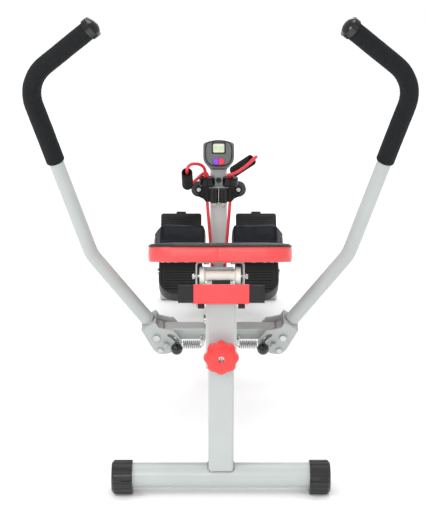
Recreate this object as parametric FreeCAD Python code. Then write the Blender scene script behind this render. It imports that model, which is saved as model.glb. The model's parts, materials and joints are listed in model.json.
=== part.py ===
import FreeCAD, Part
import math
import os

# Rowing machine: sloping rail with a rolling seat, swinging handle arms on a crossbar under the rail,
# tilting foot plates, a small console and two elastic pull bands at the front end.
# Millimetres, +Z up, +Y from the rear post to the console, floor at z = 0.
# Everything is built with the rear post's axis at y = 0 and shifted by save(), so that the
# exported frame has its origin on the floor under the middle of the whole machine.

V = FreeCAD.Vector
X_AXIS = V(1, 0, 0)

# ---------------------------------------------------------------- driving dimensions (mm, degrees)
FIT = 0.06            # radial clearance of a running fit
GAP = 0.3             # clearance between faces of parts that move past each other

RAIL_W, RAIL_H, RAIL_WALL = 60.0, 35.0, 2.0
RAIL_SLOPE = 16.0
RAIL_TOP_Z = 435.0    # rail's top face above the rear post
RAIL_REAR = -26.0     # rail's rear end, measured along the rail from the rear post

REAR_TUBE_R, REAR_TUBE_WALL, REAR_TUBE_Z = 25.0, 2.0, 37.0
CAP_SOLE = 1.0        # depth of the flat on which an end cap stands
REAR_TUBE_HALF = 212.0
CAP_R, CAP_LENGTH, CAP_HALF_SPAN = 34.0, 41.0, 217.5
CAP_FLUTES = 18
POST_W, POST_D, POST_WALL, POST_TOP = 50.0, 40.0, 2.0, 388.0
SLEEVE_W, SLEEVE_D, SLEEVE_WALL, SLEEVE_BOTTOM = 60.0, 50.0, 2.5, 272.0
KNOB_Z, KNOB_R, KNOB_LOBES = 305.0, 31.8, 8
KNOB_FRONT, KNOB_BACK = -68.0, -42.0
SCREW_R = 6.0

END_BAR_S0, END_BAR_S1 = -46.0, -26.0
COVER_HALF, BUMPER_HALF = 53.0, 82.5

FRONT_Y, FRONT_TUBE_R, FRONT_CAP_R, FRONT_HALF = 1280.0, 22.5, 24.5, 161.0
MAST_Y, MAST_W, MAST_TOP = 1225.0, 45.0, 372.0
MAST_BOLT_Z, NECK_SCREW_Z = 291.0, 358.0

SEAT_S0, SEAT_S1, SEAT_HALF, SEAT_THICK = 369.0, 639.0, 155.0, 36.0
SEAT_N = 42.0         # underside of the seat above the rail's top face
CARRIAGE_S0, CARRIAGE_S1 = 395.0, 575.0
CARRIAGE_HALF, CARRIAGE_T, CARRIAGE_LEG = 53.5, 3.0, -57.0
ROLLER_CORE_R, ROLLER_FLANGE_R, ROLLER_HALF = 11.5, 18.5, 45.0
ROLLER_S = (417.0, 553.0)
LOWER_R, LOWER_S = 11.0, (412.0, 558.0)
AXLE_R = 4.0
SEAT_TRAVEL = 350.0

LEAN = 16.0           # the arms and crossbar lean back by this at rest
BAR_Y, BAR_Z, BAR = 500.0, 172.0, 30.0
SWING_T = 30.0        # swing axle above the crossbar's centre
BEARING_R = 14.0
SWING_R = 8.0
DAMPER_PIN_T = -51.0
DAMPER_Y, DAMPER_Z = 110.0, 330.0
PIN_R = 5.0
PIVOT_X = 143.0       # arm pivots on the crossbar's ends
PIVOT_R = 6.0
PLATE_W0, PLATE_W1 = 24.0, 27.0
LATCH_X, LATCH_T, LATCH_PIN_R, LATCH_RADIUS = 135.0, -35.0, 4.0, 45.0
LATCH_REST, LATCH_OPEN = 147.4, 118.7
STUD_X, STUD_T = 121.0, -17.0
SPRING_W, SPRING_T, SPRING_R, WIRE_R = -31.0, -17.0, 8.6, 1.4
SPRING_X0, SPRING_X1, SPRING_TURNS = 45.0, 84.0, 9
ANCHOR_X, ANCHOR_T = 40.0, -6.0

ARM_R, ARM_WALL, GRIP_R, PLUG_R = 16.0, 1.5, 20.0, 23.0
ARM_PATH = [(159.0, 25.0), (283.0, 204.5), (404.7, 626.0), (262.0, 747.0)]
ARM_BENDS = [90.0, 90.0]
GRIP_START = 196.0    # foam below the upper bend's corner
PLUG_BACK = 9.0       # the end plug's collar reaches this far back over the tube

PEDAL_TILT = 44.4
PEDAL_AXLE_S, PEDAL_TUBE_R, PEDAL_AXLE_R = 1184.0, 12.5, 6.0
PEDAL_X0, PEDAL_X1, PEDAL_HEEL, PEDAL_TOE, PEDAL_N = 43.0, 157.0, -107.0, 145.0, 60.0

CONSOLE_TILT, CONSOLE_Y, CONSOLE_Z = 25.0, 1206.0, 428.0
GUIDE_Z0, GUIDE_Z1, BAND_X, BAND_Y, BAND_R = 303.0, 341.0, 31.0, 1184.0, 4.2
EAR_X, EAR_Z, EAR_R = 53.0, 330.4, 20.0
STOPPER_R, STOPPER_H, STOPPER_Z, STOPPER_CLEAR = 20.8, 24.0, 346.0, 0.3
HANDLE_R, HANDLE_BORE, HANDLE_L = 13.5, 10.5, 70.0

FRONT_MOST = FRONT_Y + FRONT_CAP_R
Y_CENTRE = (FRONT_MOST + KNOB_FRONT) / 2


# ---------------------------------------------------------------- shape helpers
def box(x0, x1, y0, y1, z0, z1):
    return Part.makeBox(x1 - x0, y1 - y0, z1 - z0, V(x0, y0, z0))


def rod(radius, start, end):
    return Part.makeCylinder(radius, (end - start).Length, start, end - start)


def pipe(outer, inner, start, end):
    return rod(outer, start, end).cut(rod(inner, start, end))


def fuse(first, *others):
    return first.fuse(list(others)) if others else first


def outline(points, place, radius=0.0):
    """Closed wire through (a, b) or (a, b, corner radius) points; place maps (a, b) into space."""
    corners = []
    count = len(points)
    for i, point in enumerate(points):
        here = V(point[0], point[1], 0)
        size = point[2] if len(point) > 2 else radius
        back = V(*points[i - 1][:2], 0) - here
        ahead = V(*points[(i + 1) % count][:2], 0) - here
        back.normalize()
        ahead.normalize()
        half = math.acos(max(-1.0, min(1.0, back.dot(ahead)))) / 2
        if size < 0.01 or half > math.radians(89.5):
            corners.append((here, None, here))
            continue
        reach = size / math.tan(half)
        middle = back + ahead
        middle.normalize()
        centre = here + middle * (size / math.sin(half))
        corners.append((here + back * reach, centre - middle * size, here + ahead * reach))
    edges = []
    for i, (start, mid, end) in enumerate(corners):
        if mid is not None:
            edges.append(Part.Arc(*(place(p.x, p.y) for p in (start, mid, end))).toShape())
        onward = corners[(i + 1) % count][0]
        if (onward - end).Length > 1e-4:
            edges.append(Part.LineSegment(place(end.x, end.y), place(onward.x, onward.y)).toShape())
    return Part.Wire(Part.__sortEdges__(edges))


def slab(points, place, thickness, radius=0.0):
    """Flat plate: the outline extruded by the vector thickness."""
    return Part.Face(outline(points, place, radius)).extrude(thickness)


def rectangle(x0, x1, y0, y1):
    return [(x0, y0), (x1, y0), (x1, y1), (x0, y1)]


def upright(x0, x1, y0, y1, z0, z1, radius):
    """Box with rounded vertical edges."""
    return slab(rectangle(x0, x1, y0, y1), lambda a, b: V(a, b, z0), V(0, 0, z1 - z0), radius)


def square_tube(width, depth, wall, z0, z1, radius, y=0.0):
    outer = upright(-width / 2, width / 2, y - depth / 2, y + depth / 2, z0, z1, radius)
    inner = upright(wall - width / 2, width / 2 - wall, y + wall - depth / 2, y + depth / 2 - wall,
                    z0, z1, radius - wall)
    return outer.cut(inner)


def path_wire(points, radii):
    """Straight runs through the points, joined by tangent arcs of the given radii."""
    edges = []
    last = points[0]
    for i, radius in enumerate(radii, start=1):
        here = points[i]
        back = points[i - 1] - here
        ahead = points[i + 1] - here
        back.normalize()
        ahead.normalize()
        half = back.getAngle(ahead) / 2
        reach = radius / math.tan(half)
        middle = back + ahead
        middle.normalize()
        centre = here + middle * (radius / math.sin(half))
        start, end = here + back * reach, here + ahead * reach
        edges.append(Part.LineSegment(last, start).toShape())
        edges.append(Part.Arc(start, centre - middle * radius, end).toShape())
        last = end
    edges.append(Part.LineSegment(last, points[-1]).toShape())
    return Part.Wire(edges)


def sweep(points, radii, radius):
    """Solid round bar along the path."""
    path = path_wire(points, radii)
    circle = Part.Wire(Part.makeCircle(radius, points[0], points[1] - points[0]))
    return path.makePipeShell([circle], True, False)


def bend_radii(points, share=0.45):
    """Largest tangent arcs that share of each corner's shorter run allows."""
    radii = []
    for before, here, after in zip(points, points[1:], points[2:]):
        turn = (here - before).getAngle(after - here)
        shorter = min((here - before).Length, (after - here).Length)
        radii.append(share * shorter / math.tan(turn / 2))
    return radii


def hexagon(across_flats, start, end):
    """Hexagonal head or nut between two points."""
    radius = across_flats / math.sqrt(3)
    axis = end - start
    length = axis.Length
    corners = [V(radius * math.cos(math.radians(60 * i)), radius * math.sin(math.radians(60 * i)), 0)
               for i in range(7)]
    head = Part.Face(Part.makePolygon(corners)).extrude(V(0, 0, length))
    head.Placement = FreeCAD.Placement(start, FreeCAD.Rotation(V(0, 0, 1), axis))
    return head


def bolt(start, end, radius, flats, head):
    """Bolt from its head's outer face at start to its nut's outer face at end."""
    axis = end - start
    axis.normalize()
    return fuse(rod(radius, start, end), hexagon(flats, start, start + axis * head),
                hexagon(flats, end - axis * head, end))


def mirrored(shape, side):
    return shape if side > 0 else shape.mirror(V(0, 0, 0), X_AXIS)


def turned(shape, angle, origin):
    """Shape turned about +X at the origin and moved to the given place."""
    result = shape.copy()
    result.rotate(V(0, 0, 0), X_AXIS, angle)
    result.translate(origin)
    return result


def on_rail(shape):
    """From rail axes (x, distance along the rail, height above its top face)."""
    return turned(shape, -RAIL_SLOPE, V(0, 0, RAIL_TOP_Z))


def on_swing(shape):
    """From swing axes (x, depth towards the front, height above the crossbar's centre)."""
    return turned(shape, LEAN, V(0, BAR_Y, BAR_Z))


def rail_point(s, n):
    slope = math.radians(RAIL_SLOPE)
    return V(0, s * math.cos(slope) + n * math.sin(slope),
             RAIL_TOP_Z - s * math.sin(slope) + n * math.cos(slope))


def swing_point(w, t):
    lean = math.radians(LEAN)
    return V(0, BAR_Y + w * math.cos(lean) - t * math.sin(lean),
             BAR_Z + w * math.sin(lean) + t * math.cos(lean))


SWING_AXIS = swing_point(0, SWING_T)
DAMPER_FRONT = swing_point(0, DAMPER_PIN_T)
DAMPER_REAR = V(0, DAMPER_Y, DAMPER_Z)
PEDAL_AXIS = rail_point(PEDAL_AXLE_S, PEDAL_TUBE_R)
UNDER_RAIL = on_rail(box(-200, 200, -200, 1600, -RAIL_H, 300))
parts = {}


def save(node, *solids):
    shape = solids[0] if len(solids) == 1 else Part.makeCompound(list(solids))
    shape = shape.copy()
    shape.translate(V(0, -Y_CENTRE, 0))
    parts[node] = shape
    shape.exportStep("parts/" + node + ".step")


# ---------------------------------------------------------------- rear stand
def rear_cap(side):
    """Fluted, off-centre end cap: turning it on the tube levels the machine."""
    inner = CAP_HALF_SPAN - CAP_LENGTH
    centre_z = CAP_R - CAP_SOLE
    body = rod(CAP_R, V(inner, 0, centre_z), V(CAP_HALF_SPAN, 0, centre_z))
    cone = Part.makeCone(CAP_R + 12, CAP_R - 5, 17, V(CAP_HALF_SPAN - 17, 0, centre_z), X_AXIS)
    body = body.common(fuse(rod(CAP_R, V(inner, 0, centre_z), V(CAP_HALF_SPAN - 7, 0, centre_z)), cone))
    body = body.common(box(0, 400, -100, 100, 0, 200))
    flutes = []
    start_angle = 12 if side > 0 else 3
    for i in range(CAP_FLUTES):
        angle = math.radians(start_angle + 360 * i / CAP_FLUTES)
        if math.sin(angle) < -0.95:
            continue
        y, z = (CAP_R + 1.6) * math.cos(angle), centre_z + (CAP_R + 1.6) * math.sin(angle)
        flutes.append(rod(3.4, V(inner - 1, y, z), V(CAP_HALF_SPAN + 1, y, z)))
    window = box(inner - 1, inner + 22, -CAP_R - 1, -CAP_R + 3.5, centre_z + 4, centre_z + 13)
    bore = rod(REAR_TUBE_R + FIT, V(inner - 1, 0, REAR_TUBE_Z), V(REAR_TUBE_HALF + GAP, 0, REAR_TUBE_Z))
    dish = rod(CAP_R - 12, V(CAP_HALF_SPAN - 1.5, 0, centre_z), V(CAP_HALF_SPAN + 1, 0, centre_z))
    return mirrored(body.cut(flutes + [window, bore, dish]), side)


def rear_stand():
    half = V(REAR_TUBE_HALF, 0, 0)
    axis = V(0, 0, REAR_TUBE_Z)
    save("rear_stabilizer", pipe(REAR_TUBE_R, REAR_TUBE_R - REAR_TUBE_WALL, axis - half, axis + half))
    post = square_tube(POST_W, POST_D, POST_WALL, REAR_TUBE_Z, POST_TOP, 6.0)
    limit = UNDER_RAIL.copy()
    limit.translate(V(0, 0, -GAP * 2))
    save("rear_post", post.cut([rod(REAR_TUBE_R, axis - half, axis + half), limit]))
    save("rear_cap_left", rear_cap(-1))
    save("rear_cap_right", rear_cap(1))


# ---------------------------------------------------------------- rail, sleeve and rear end
def rail():
    shell = square_tube(RAIL_W, RAIL_H, RAIL_WALL, 0, 1400, 4.0)
    shell.rotate(V(0, 0, 0), X_AXIS, -90)
    shell.translate(V(0, RAIL_REAR, -RAIL_H / 2))
    beyond = box(-60, 60, FRONT_Y - 10, FRONT_Y + 300, -200, 400)
    tube = rod(FRONT_TUBE_R, V(-70, FRONT_Y, FRONT_CAP_R), V(70, FRONT_Y, FRONT_CAP_R))
    save("rail", on_rail(shell).cut([beyond, tube]))


def post_sleeve():
    sleeve = square_tube(SLEEVE_W, SLEEVE_D, SLEEVE_WALL, SLEEVE_BOTTOM, 420, 7.0)
    face = -SLEEVE_D / 2
    boss = rod(12, V(0, face - 9, KNOB_Z), V(0, face, KNOB_Z))
    hole = rod(SCREW_R + FIT, V(0, face - 10, KNOB_Z), V(0, face + SLEEVE_WALL + 1, KNOB_Z))
    save("rear_sleeve", fuse(sleeve, boss).cut([hole, UNDER_RAIL]))
    play = GAP
    liner = square_tube(SLEEVE_W - 2 * SLEEVE_WALL, SLEEVE_D - 2 * SLEEVE_WALL,
                        SLEEVE_WALL - play, SLEEVE_BOTTOM, SLEEVE_BOTTOM + 62, 4.5)
    opening = upright(-POST_W / 2 - play, POST_W / 2 + play, -POST_D / 2 - play, POST_D / 2 + play,
                      SLEEVE_BOTTOM - 10, SLEEVE_BOTTOM, 6.0)
    collar = upright(-SLEEVE_W / 2 + 1.5, SLEEVE_W / 2 - 1.5, -SLEEVE_D / 2 + 1.5, SLEEVE_D / 2 - 1.5,
                     SLEEVE_BOTTOM - 1.5, SLEEVE_BOTTOM, 5.5).cut(opening)
    bush = fuse(liner, collar)
    save("post_bush", bush.cut(rod(SCREW_R + 1, V(0, -40, KNOB_Z), V(0, 0, KNOB_Z))))


def height_knob():
    """Scalloped hand knob on a clamping screw that bears on the post."""
    outline_points = []
    steps = 12 * KNOB_LOBES
    for i in range(steps):
        angle = 2 * math.pi * i / steps
        radius = KNOB_R + 2.3 * math.cos(KNOB_LOBES * angle)
        outline_points.append(V(radius * math.cos(angle), 0, radius * math.sin(angle)))
    curve = Part.BSplineCurve()
    curve.interpolate(outline_points, PeriodicFlag=True)
    star = Part.Face(Part.Wire(curve.toShape())).extrude(V(0, 22, 0))
    depth = KNOB_BACK - KNOB_FRONT
    dome = [V(0, 0, 0), V(14, 0.3, 0), V(24, 2.6, 0), V(31, 7, 0), V(36, 13, 0)]
    profile = [Part.LineSegment(a, b).toShape() for a, b in zip(dome, dome[1:])]
    rim = [V(36, 13, 0), V(36, 19, 0), V(33, depth - 5, 0), V(0, depth - 5, 0), V(0, 0, 0)]
    profile += [Part.LineSegment(a, b).toShape() for a, b in zip(rim, rim[1:])]
    lathe = Part.Face(Part.Wire(profile)).revolve(V(0, 0, 0), V(0, 1, 0), 360)
    knob = star.common(lathe)
    hub = rod(15, V(0, depth - 7, 0), V(0, depth, 0))
    recess = rod(7.0, V(0, -1, 0), V(0, 1.2, 0))
    bore = rod(SCREW_R, V(0, -1, 0), V(0, depth + 1, 0))
    knob = fuse(knob, hub).cut([recess, bore])
    knob.translate(V(0, KNOB_FRONT, KNOB_Z))
    save("height_knob", knob)
    tip = -POST_D / 2 - GAP
    screw = rod(SCREW_R, V(0, KNOB_FRONT + 8, KNOB_Z), V(0, tip, KNOB_Z))
    socket = rod(3, V(0, KNOB_FRONT, KNOB_Z), V(0, KNOB_FRONT + 14, KNOB_Z))
    save("height_screw", screw.cut(socket))


def cross_piece(x0, x1, s0, s1, n0, n1, radius):
    """Bar along X with rounded long edges."""
    return slab(rectangle(s0, s1, n0, n1), lambda a, b: V(x0, a, b), V(x1 - x0, 0, 0), radius)


def rear_end():
    """Red cover over the cross bar on the rail's rear end, the black sleeves beside it and the stops."""
    cover = cross_piece(-COVER_HALF, COVER_HALF, END_BAR_S0 - 6, END_BAR_S1 - 0.2, -36, 1, 4.0)
    hollow = cross_piece(-COVER_HALF + 2.5, COVER_HALF - 2.5, END_BAR_S0 - 3.5, END_BAR_S1 + 20,
                         -33.5, -1.5, 2.0)
    bar_hole = cross_piece(-90, 90, END_BAR_S0, END_BAR_S1, -30, -5, 3.0)
    save("rail_end_cover", on_rail(cover.cut([hollow, bar_hole])))
    sleeves = []
    for side in (-1, 1):
        x0, x1 = sorted((side * (COVER_HALF + 0.3), side * BUMPER_HALF))
        sleeve = cross_piece(x0, x1, END_BAR_S0 - 5, END_BAR_S1 + 5, -34.5, -0.5, 8.0)
        bore = cross_piece(-79, 79, END_BAR_S0, END_BAR_S1, -30, -5, 3.0)
        sleeves.append(on_rail(sleeve.cut(bore)))
    for s0, s1, n in ((CARRIAGE_S0 - SEAT_TRAVEL - 16, CARRIAGE_S0 - SEAT_TRAVEL - 2, 8),
                      (CARRIAGE_S1 + 2, CARRIAGE_S1 + 16, 16)):
        sleeves.append(on_rail(upright(-18, 18, s0, s1, 0, n, 3.0)))
    for x0 in (-45, 32):
        sleeves.append(on_rail(upright(x0, x0 + 13, END_BAR_S0 + 1, END_BAR_S1 - 3, -45, -36, 2.5)))
    save("rubber_buffers", *sleeves)


def rail_brackets():
    """Welded pieces: rear cross bar, damper ears and the tube that carries the pedal axle."""
    bar = cross_piece(-79, 79, END_BAR_S0, END_BAR_S1, -30, -5, 3.0)
    bar = on_rail(bar.cut(cross_piece(-80, 80, END_BAR_S0 + 2, END_BAR_S1 - 2, -28, -7, 1.0)))
    ears = []
    for side in (-1, 1):
        x0 = 10.3 if side > 0 else -14.3
        ear = slab([(DAMPER_Y - 15, DAMPER_Z - 14, 13), (DAMPER_Y + 15, DAMPER_Z - 14, 13),
                    (DAMPER_Y + 24, 400), (DAMPER_Y - 24, 410)],
                   lambda a, b: V(x0, a, b), V(4, 0, 0))
        hole = rod(PIN_R, V(-20, DAMPER_Y, DAMPER_Z), V(20, DAMPER_Y, DAMPER_Z))
        ears.append(ear.cut([UNDER_RAIL, hole]))
    tube = pipe(PEDAL_TUBE_R, PEDAL_AXLE_R, V(-40, PEDAL_AXIS.y, PEDAL_AXIS.z),
                V(40, PEDAL_AXIS.y, PEDAL_AXIS.z))
    save("rail_brackets", bar, *ears, tube)


def swing_hanger():
    """Short neck under the rail that ends in the bearing tube of the swing axle."""
    neck = square_tube(30, 46, 4, SWING_AXIS.z, 420, 5.0, y=SWING_AXIS.y)
    ends = [V(x, SWING_AXIS.y, SWING_AXIS.z) for x in (-20, 20)]
    hanger = fuse(neck, rod(BEARING_R, *ends)).cut([UNDER_RAIL, rod(SWING_R + FIT, *ends)])
    save("swing_hanger", hanger)


# ---------------------------------------------------------------- front stand, mast and band guide
def front_stand():
    half = V(FRONT_HALF - 4, 0, 0)
    axis = V(0, FRONT_Y, FRONT_CAP_R)
    save("front_stabilizer", pipe(FRONT_TUBE_R, FRONT_TUBE_R - 2, axis - half, axis + half))
    caps = []
    for side in (-1, 1):
        outer = V(side * FRONT_HALF, 0, 0)
        body = rod(FRONT_CAP_R, axis + outer * ((FRONT_HALF - 28) / FRONT_HALF), axis + outer)
        body = body.makeChamfer(3.0, [e for e in body.Edges if abs(e.CenterOfMass.x - side * FRONT_HALF) < 1])
        caps.append(body.cut(rod(FRONT_TUBE_R, axis - half, axis + half)))
    save("front_caps", *caps)

    mast = square_tube(MAST_W, MAST_W, 2, 60, MAST_TOP, 5.0, y=MAST_Y)
    rear = MAST_Y - MAST_W / 2
    hooks = []
    for side in (-1, 1):
        x = side * 16
        loop = [V(x, rear + 1, 122), V(x, rear - 11.5, 122), V(x, rear - 11.5, 108), V(x, rear + 1, 108)]
        hooks.append(sweep(loop, [6, 6], 2.5))
    under = on_rail(box(-100, 100, 900, 1500, -300, 0))
    holes = [rod(3, V(x, rear - 1, MAST_BOLT_Z), V(x, rear + 3, MAST_BOLT_Z)) for x in (-12, 12)]
    holes.append(rod(3.2, V(0, rear - 1, NECK_SCREW_Z), V(0, rear + 3, NECK_SCREW_Z)))
    save("front_post", fuse(mast, *hooks).cut([under] + holes))


def band_guide():
    """Black guide block clamped to the mast, with round ears and two upright rollers in the middle."""
    face = MAST_Y - MAST_W / 2
    body = slab([(-46, GUIDE_Z1, 6), (-46, 317, 9), (-34, GUIDE_Z0, 6), (34, GUIDE_Z0, 6), (46, 317, 9),
                 (46, GUIDE_Z1, 6)],
                lambda a, b: V(a, face - 24, b), V(0, 24, 0))
    ears = []
    for side in (-1, 1):
        ears.append(rod(EAR_R, V(side * EAR_X, face + 2, EAR_Z), V(side * EAR_X, face + 17, EAR_Z)))
        corners = [(28, 306), (40, 306, 5), (56, 314, 5), (56, 343, 5), (28, 340)]
        ears.append(slab([(side * c[0],) + c[1:] for c in corners],
                         lambda a, b: V(a, face - 6, b), V(0, 22, 0)))
    rollers = [rod(11, V(side * 12, face - 27, GUIDE_Z0), V(side * 12, face - 27, GUIDE_Z1 - 1))
               for side in (-1, 1)]
    slots = [rod(BAND_R + 1.2, V(side * BAND_X, BAND_Y, 290), V(side * BAND_X, BAND_Y, 360))
             for side in (-1, 1)]
    screws = [rod(3.5, V(side * EAR_X, face - 40, EAR_Z), V(side * EAR_X, face + 18, EAR_Z))
              for side in (-1, 1)]
    screws += [rod(7.5, V(side * EAR_X, face - 40, EAR_Z), V(side * EAR_X, face + 2, EAR_Z))
               for side in (-1, 1)]
    save("band_guide", fuse(body, *ears, *rollers).cut(slots + screws))


def console():
    """Neck bracket, two housing shells, window and the two half-round buttons."""
    face = MAST_Y - MAST_W / 2
    foot = box(-21, 21, face - 3, MAST_Y + 18, MAST_TOP, MAST_TOP + 2)
    shelf = box(-25, 25, face - 26, face, GUIDE_Z1, GUIDE_Z1 + 2)
    web = slab([(-11, GUIDE_Z1, 0), (11, GUIDE_Z1, 0), (11, 366, 8), (23, 386, 3), (23, 398, 2),
                (-23, 398, 2), (-23, 386, 3), (-11, 366, 8)],
               lambda a, b: V(a, face - 3, b), V(0, 3, 0))
    
    def housing(inset, y0, y1):
        points = [(-41 + inset, 27 - inset / 2, 9), (0, 40 - inset, 95), (41 - inset, 27 - inset / 2, 9),
                  (41 - inset, -18, 26), (22 - inset / 2, -41 + inset, 22),
                  (-22 + inset / 2, -41 + inset, 22), (-41 + inset, -18, 26)]
        return slab(points, lambda a, b: V(a, y0, b), V(0, y1 - y0, 0))

    def place(shape):
        return turned(shape, -CONSOLE_TILT, V(0, CONSOLE_Y, CONSOLE_Z))

    tool = rod(3.2, V(0, face - 5, NECK_SCREW_Z), V(0, face + 1, NECK_SCREW_Z))
    save("console_bracket", fuse(shelf, web, foot).cut([tool, place(housing(0, -8, 14))]))
    window = box(-15.3, 15.3, -20, -6, 0.3, 25)

    def oval(grow, y0, y1):
        half_x, half_z = 15.2 + grow, 8.4 + grow
        corners = [(a, b - 24.5, half_z - 0.1) for a, b in rectangle(-half_x, half_x, -half_z, half_z)]
        return slab(corners, lambda a, b: V(a, y0, b), V(0, y1 - y0, 0))

    button_hole = oval(0.7, -20, -6)
    back = housing(0, -2, 14).cut(housing(3, -3, 12))
    front = fuse(housing(0, -8, -2), housing(6.5, -12, -8))
    groove = housing(5.5, -8.5, -6.5).cut(housing(7.5, -9, -6))
    front = front.cut([housing(3, -6.5, -1), window, groove, button_hole])
    save("console_rear", place(back))
    save("console_front", place(front))
    lens = fuse(box(-15, 15, -11, -6.5, 0.6, 24.7), box(-17, 17, -6.5, -5, -1, 27))
    save("console_lens", place(lens))
    for side, name in ((-1, "button_left"), (1, "button_right")):
        disc = oval(0, -14.5, -5)
        flange = oval(2.0, -5, -3.5)
        half = box(0.5, 40, -30, 10, -60, 20)
        save(name, place(mirrored(fuse(disc, flange).common(half), side)))


def frame_screws():
    face = MAST_Y - MAST_W / 2
    ears = [fuse(rod(3.5, V(side * EAR_X, face + 1, EAR_Z), V(side * EAR_X, face + 17, EAR_Z)),
                 rod(5.5, V(side * EAR_X, face - 1.5, EAR_Z), V(side * EAR_X, face + 2, EAR_Z)))
            for side in (-1, 1)]
    mast = [fuse(rod(3, V(x, face - 0.5, MAST_BOLT_Z), V(x, face + 2, MAST_BOLT_Z)),
                 hexagon(10, V(x, face - 5, MAST_BOLT_Z), V(x, face, MAST_BOLT_Z))) for x in (-12, 12)]
    neck = fuse(rod(3.2, V(0, face - 3, NECK_SCREW_Z), V(0, face + 2, NECK_SCREW_Z)),
                rod(6.5, V(0, face - 7, NECK_SCREW_Z), V(0, face - 3, NECK_SCREW_Z)).cut(
                    rod(2.2, V(0, face - 8, NECK_SCREW_Z), V(0, face - 5, NECK_SCREW_Z))))
    pin = bolt(V(-20, DAMPER_Y, DAMPER_Z), V(20, DAMPER_Y, DAMPER_Z), PIN_R, 15, 5)
    save("frame_screws", *ears, *mast, neck, pin)


# ---------------------------------------------------------------- seat and its rolling carriage
def seat():
    board = upright(-SEAT_HALF + 8, SEAT_HALF - 8, SEAT_S0 + 8, SEAT_S1 - 8, SEAT_N, SEAT_N + 6, 54.0)
    save("seat_board", on_rail(board))
    cushion = upright(-SEAT_HALF, SEAT_HALF, SEAT_S0, SEAT_S1, SEAT_N, SEAT_N + 6 + SEAT_THICK, 62.0)
    crown = [e for e in cushion.Edges if abs(e.CenterOfMass.z - SEAT_N - 6 - SEAT_THICK) < 0.01]
    save("seat_cushion", on_rail(cushion.makeFillet(7.0, crown).cut(board)))

    outer = slab([(-CARRIAGE_HALF, CARRIAGE_LEG), (CARRIAGE_HALF, CARRIAGE_LEG),
                  (CARRIAGE_HALF, SEAT_N, 8), (-CARRIAGE_HALF, SEAT_N, 8)],
                 lambda a, b: V(a, CARRIAGE_S0, b), V(0, CARRIAGE_S1 - CARRIAGE_S0, 0))
    inside, ceiling = CARRIAGE_HALF - CARRIAGE_T, SEAT_N - CARRIAGE_T
    inner = slab([(-inside, CARRIAGE_LEG - 5), (inside, CARRIAGE_LEG - 5), (inside, ceiling, 5),
                  (-inside, ceiling, 5)],
                 lambda a, b: V(a, CARRIAGE_S0 - 5, b), V(0, CARRIAGE_S1 - CARRIAGE_S0 + 10, 0))
    middle = (CARRIAGE_S0 + CARRIAGE_S1) / 2
    cut_out = slab([(middle - 38, -100), (middle + 38, -100), (middle + 38, -2, 20), (middle - 38, -2, 20)],
                   lambda a, b: V(-80, a, b), V(160, 0, 0))
    axle_n = ROLLER_CORE_R + GAP
    lower_n = -RAIL_H - LOWER_R - GAP
    holes = [rod(AXLE_R, V(-80, s, axle_n), V(80, s, axle_n)) for s in ROLLER_S]
    holes += [rod(AXLE_R, V(-80, s, lower_n), V(80, s, lower_n)) for s in LOWER_S]
    holes += [rod(3, V(x, s, 30), V(x, s, 50)) for x in (-30, 30) for s in (middle - 60, middle + 60)]
    save("seat_carriage", on_rail(outer.cut(inner).cut([cut_out] + holes)))

    axles = [bolt(V(-61, s, axle_n), V(61, s, axle_n), AXLE_R, 13, 5) for s in ROLLER_S]
    for s in LOWER_S:
        for side in (-1, 1):
            stub = bolt(V(side * 61, s, lower_n), V(side * 17.5, s, lower_n), AXLE_R, 12, 4)
            axles.append(stub)
    for x in (-30, 30):
        for s in (middle - 60, middle + 60):
            axles.append(fuse(rod(3, V(x, s, ceiling), V(x, s, SEAT_N)),
                              rod(6, V(x, s, ceiling - 3), V(x, s, ceiling))))
    save("roller_axles", *(on_rail(a) for a in axles))

    for s, name in zip(ROLLER_S, ("rear", "front")):
        core = rod(ROLLER_CORE_R, V(-ROLLER_HALF, s, axle_n), V(ROLLER_HALF, s, axle_n))
        ends = []
        for side in (-1, 1):
            start = V(side * (RAIL_W / 2 + 1.5), s, axle_n)
            cone = Part.makeCone(ROLLER_CORE_R, ROLLER_FLANGE_R, 4, start, V(side, 0, 0))
            ends += [cone, rod(ROLLER_FLANGE_R, start + V(side * 4, 0, 0), V(side * ROLLER_HALF, s, axle_n))]
        bore = rod(AXLE_R + FIT, V(-70, s, axle_n), V(70, s, axle_n))
        save("upper_roller_" + name, on_rail(fuse(core, *ends).cut(bore)))
    for s, name in zip(LOWER_S, ("rear", "front")):
        pair = []
        for side in (-1, 1):
            body = rod(LOWER_R, V(side * 22.5, s, lower_n), V(side * 49.5, s, lower_n))
            body = body.makeFillet(2.0, [e for e in body.Edges if e.Closed and e.Length > 50
                                         and abs(abs(e.CenterOfMass.x) - 36) > 10])
            bore = rod(AXLE_R + FIT, V(side * 15, s, lower_n), V(side * 70, s, lower_n))
            pair.append(on_rail(body.cut(bore)))
        save("lower_rollers_" + name, *pair)


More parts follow.
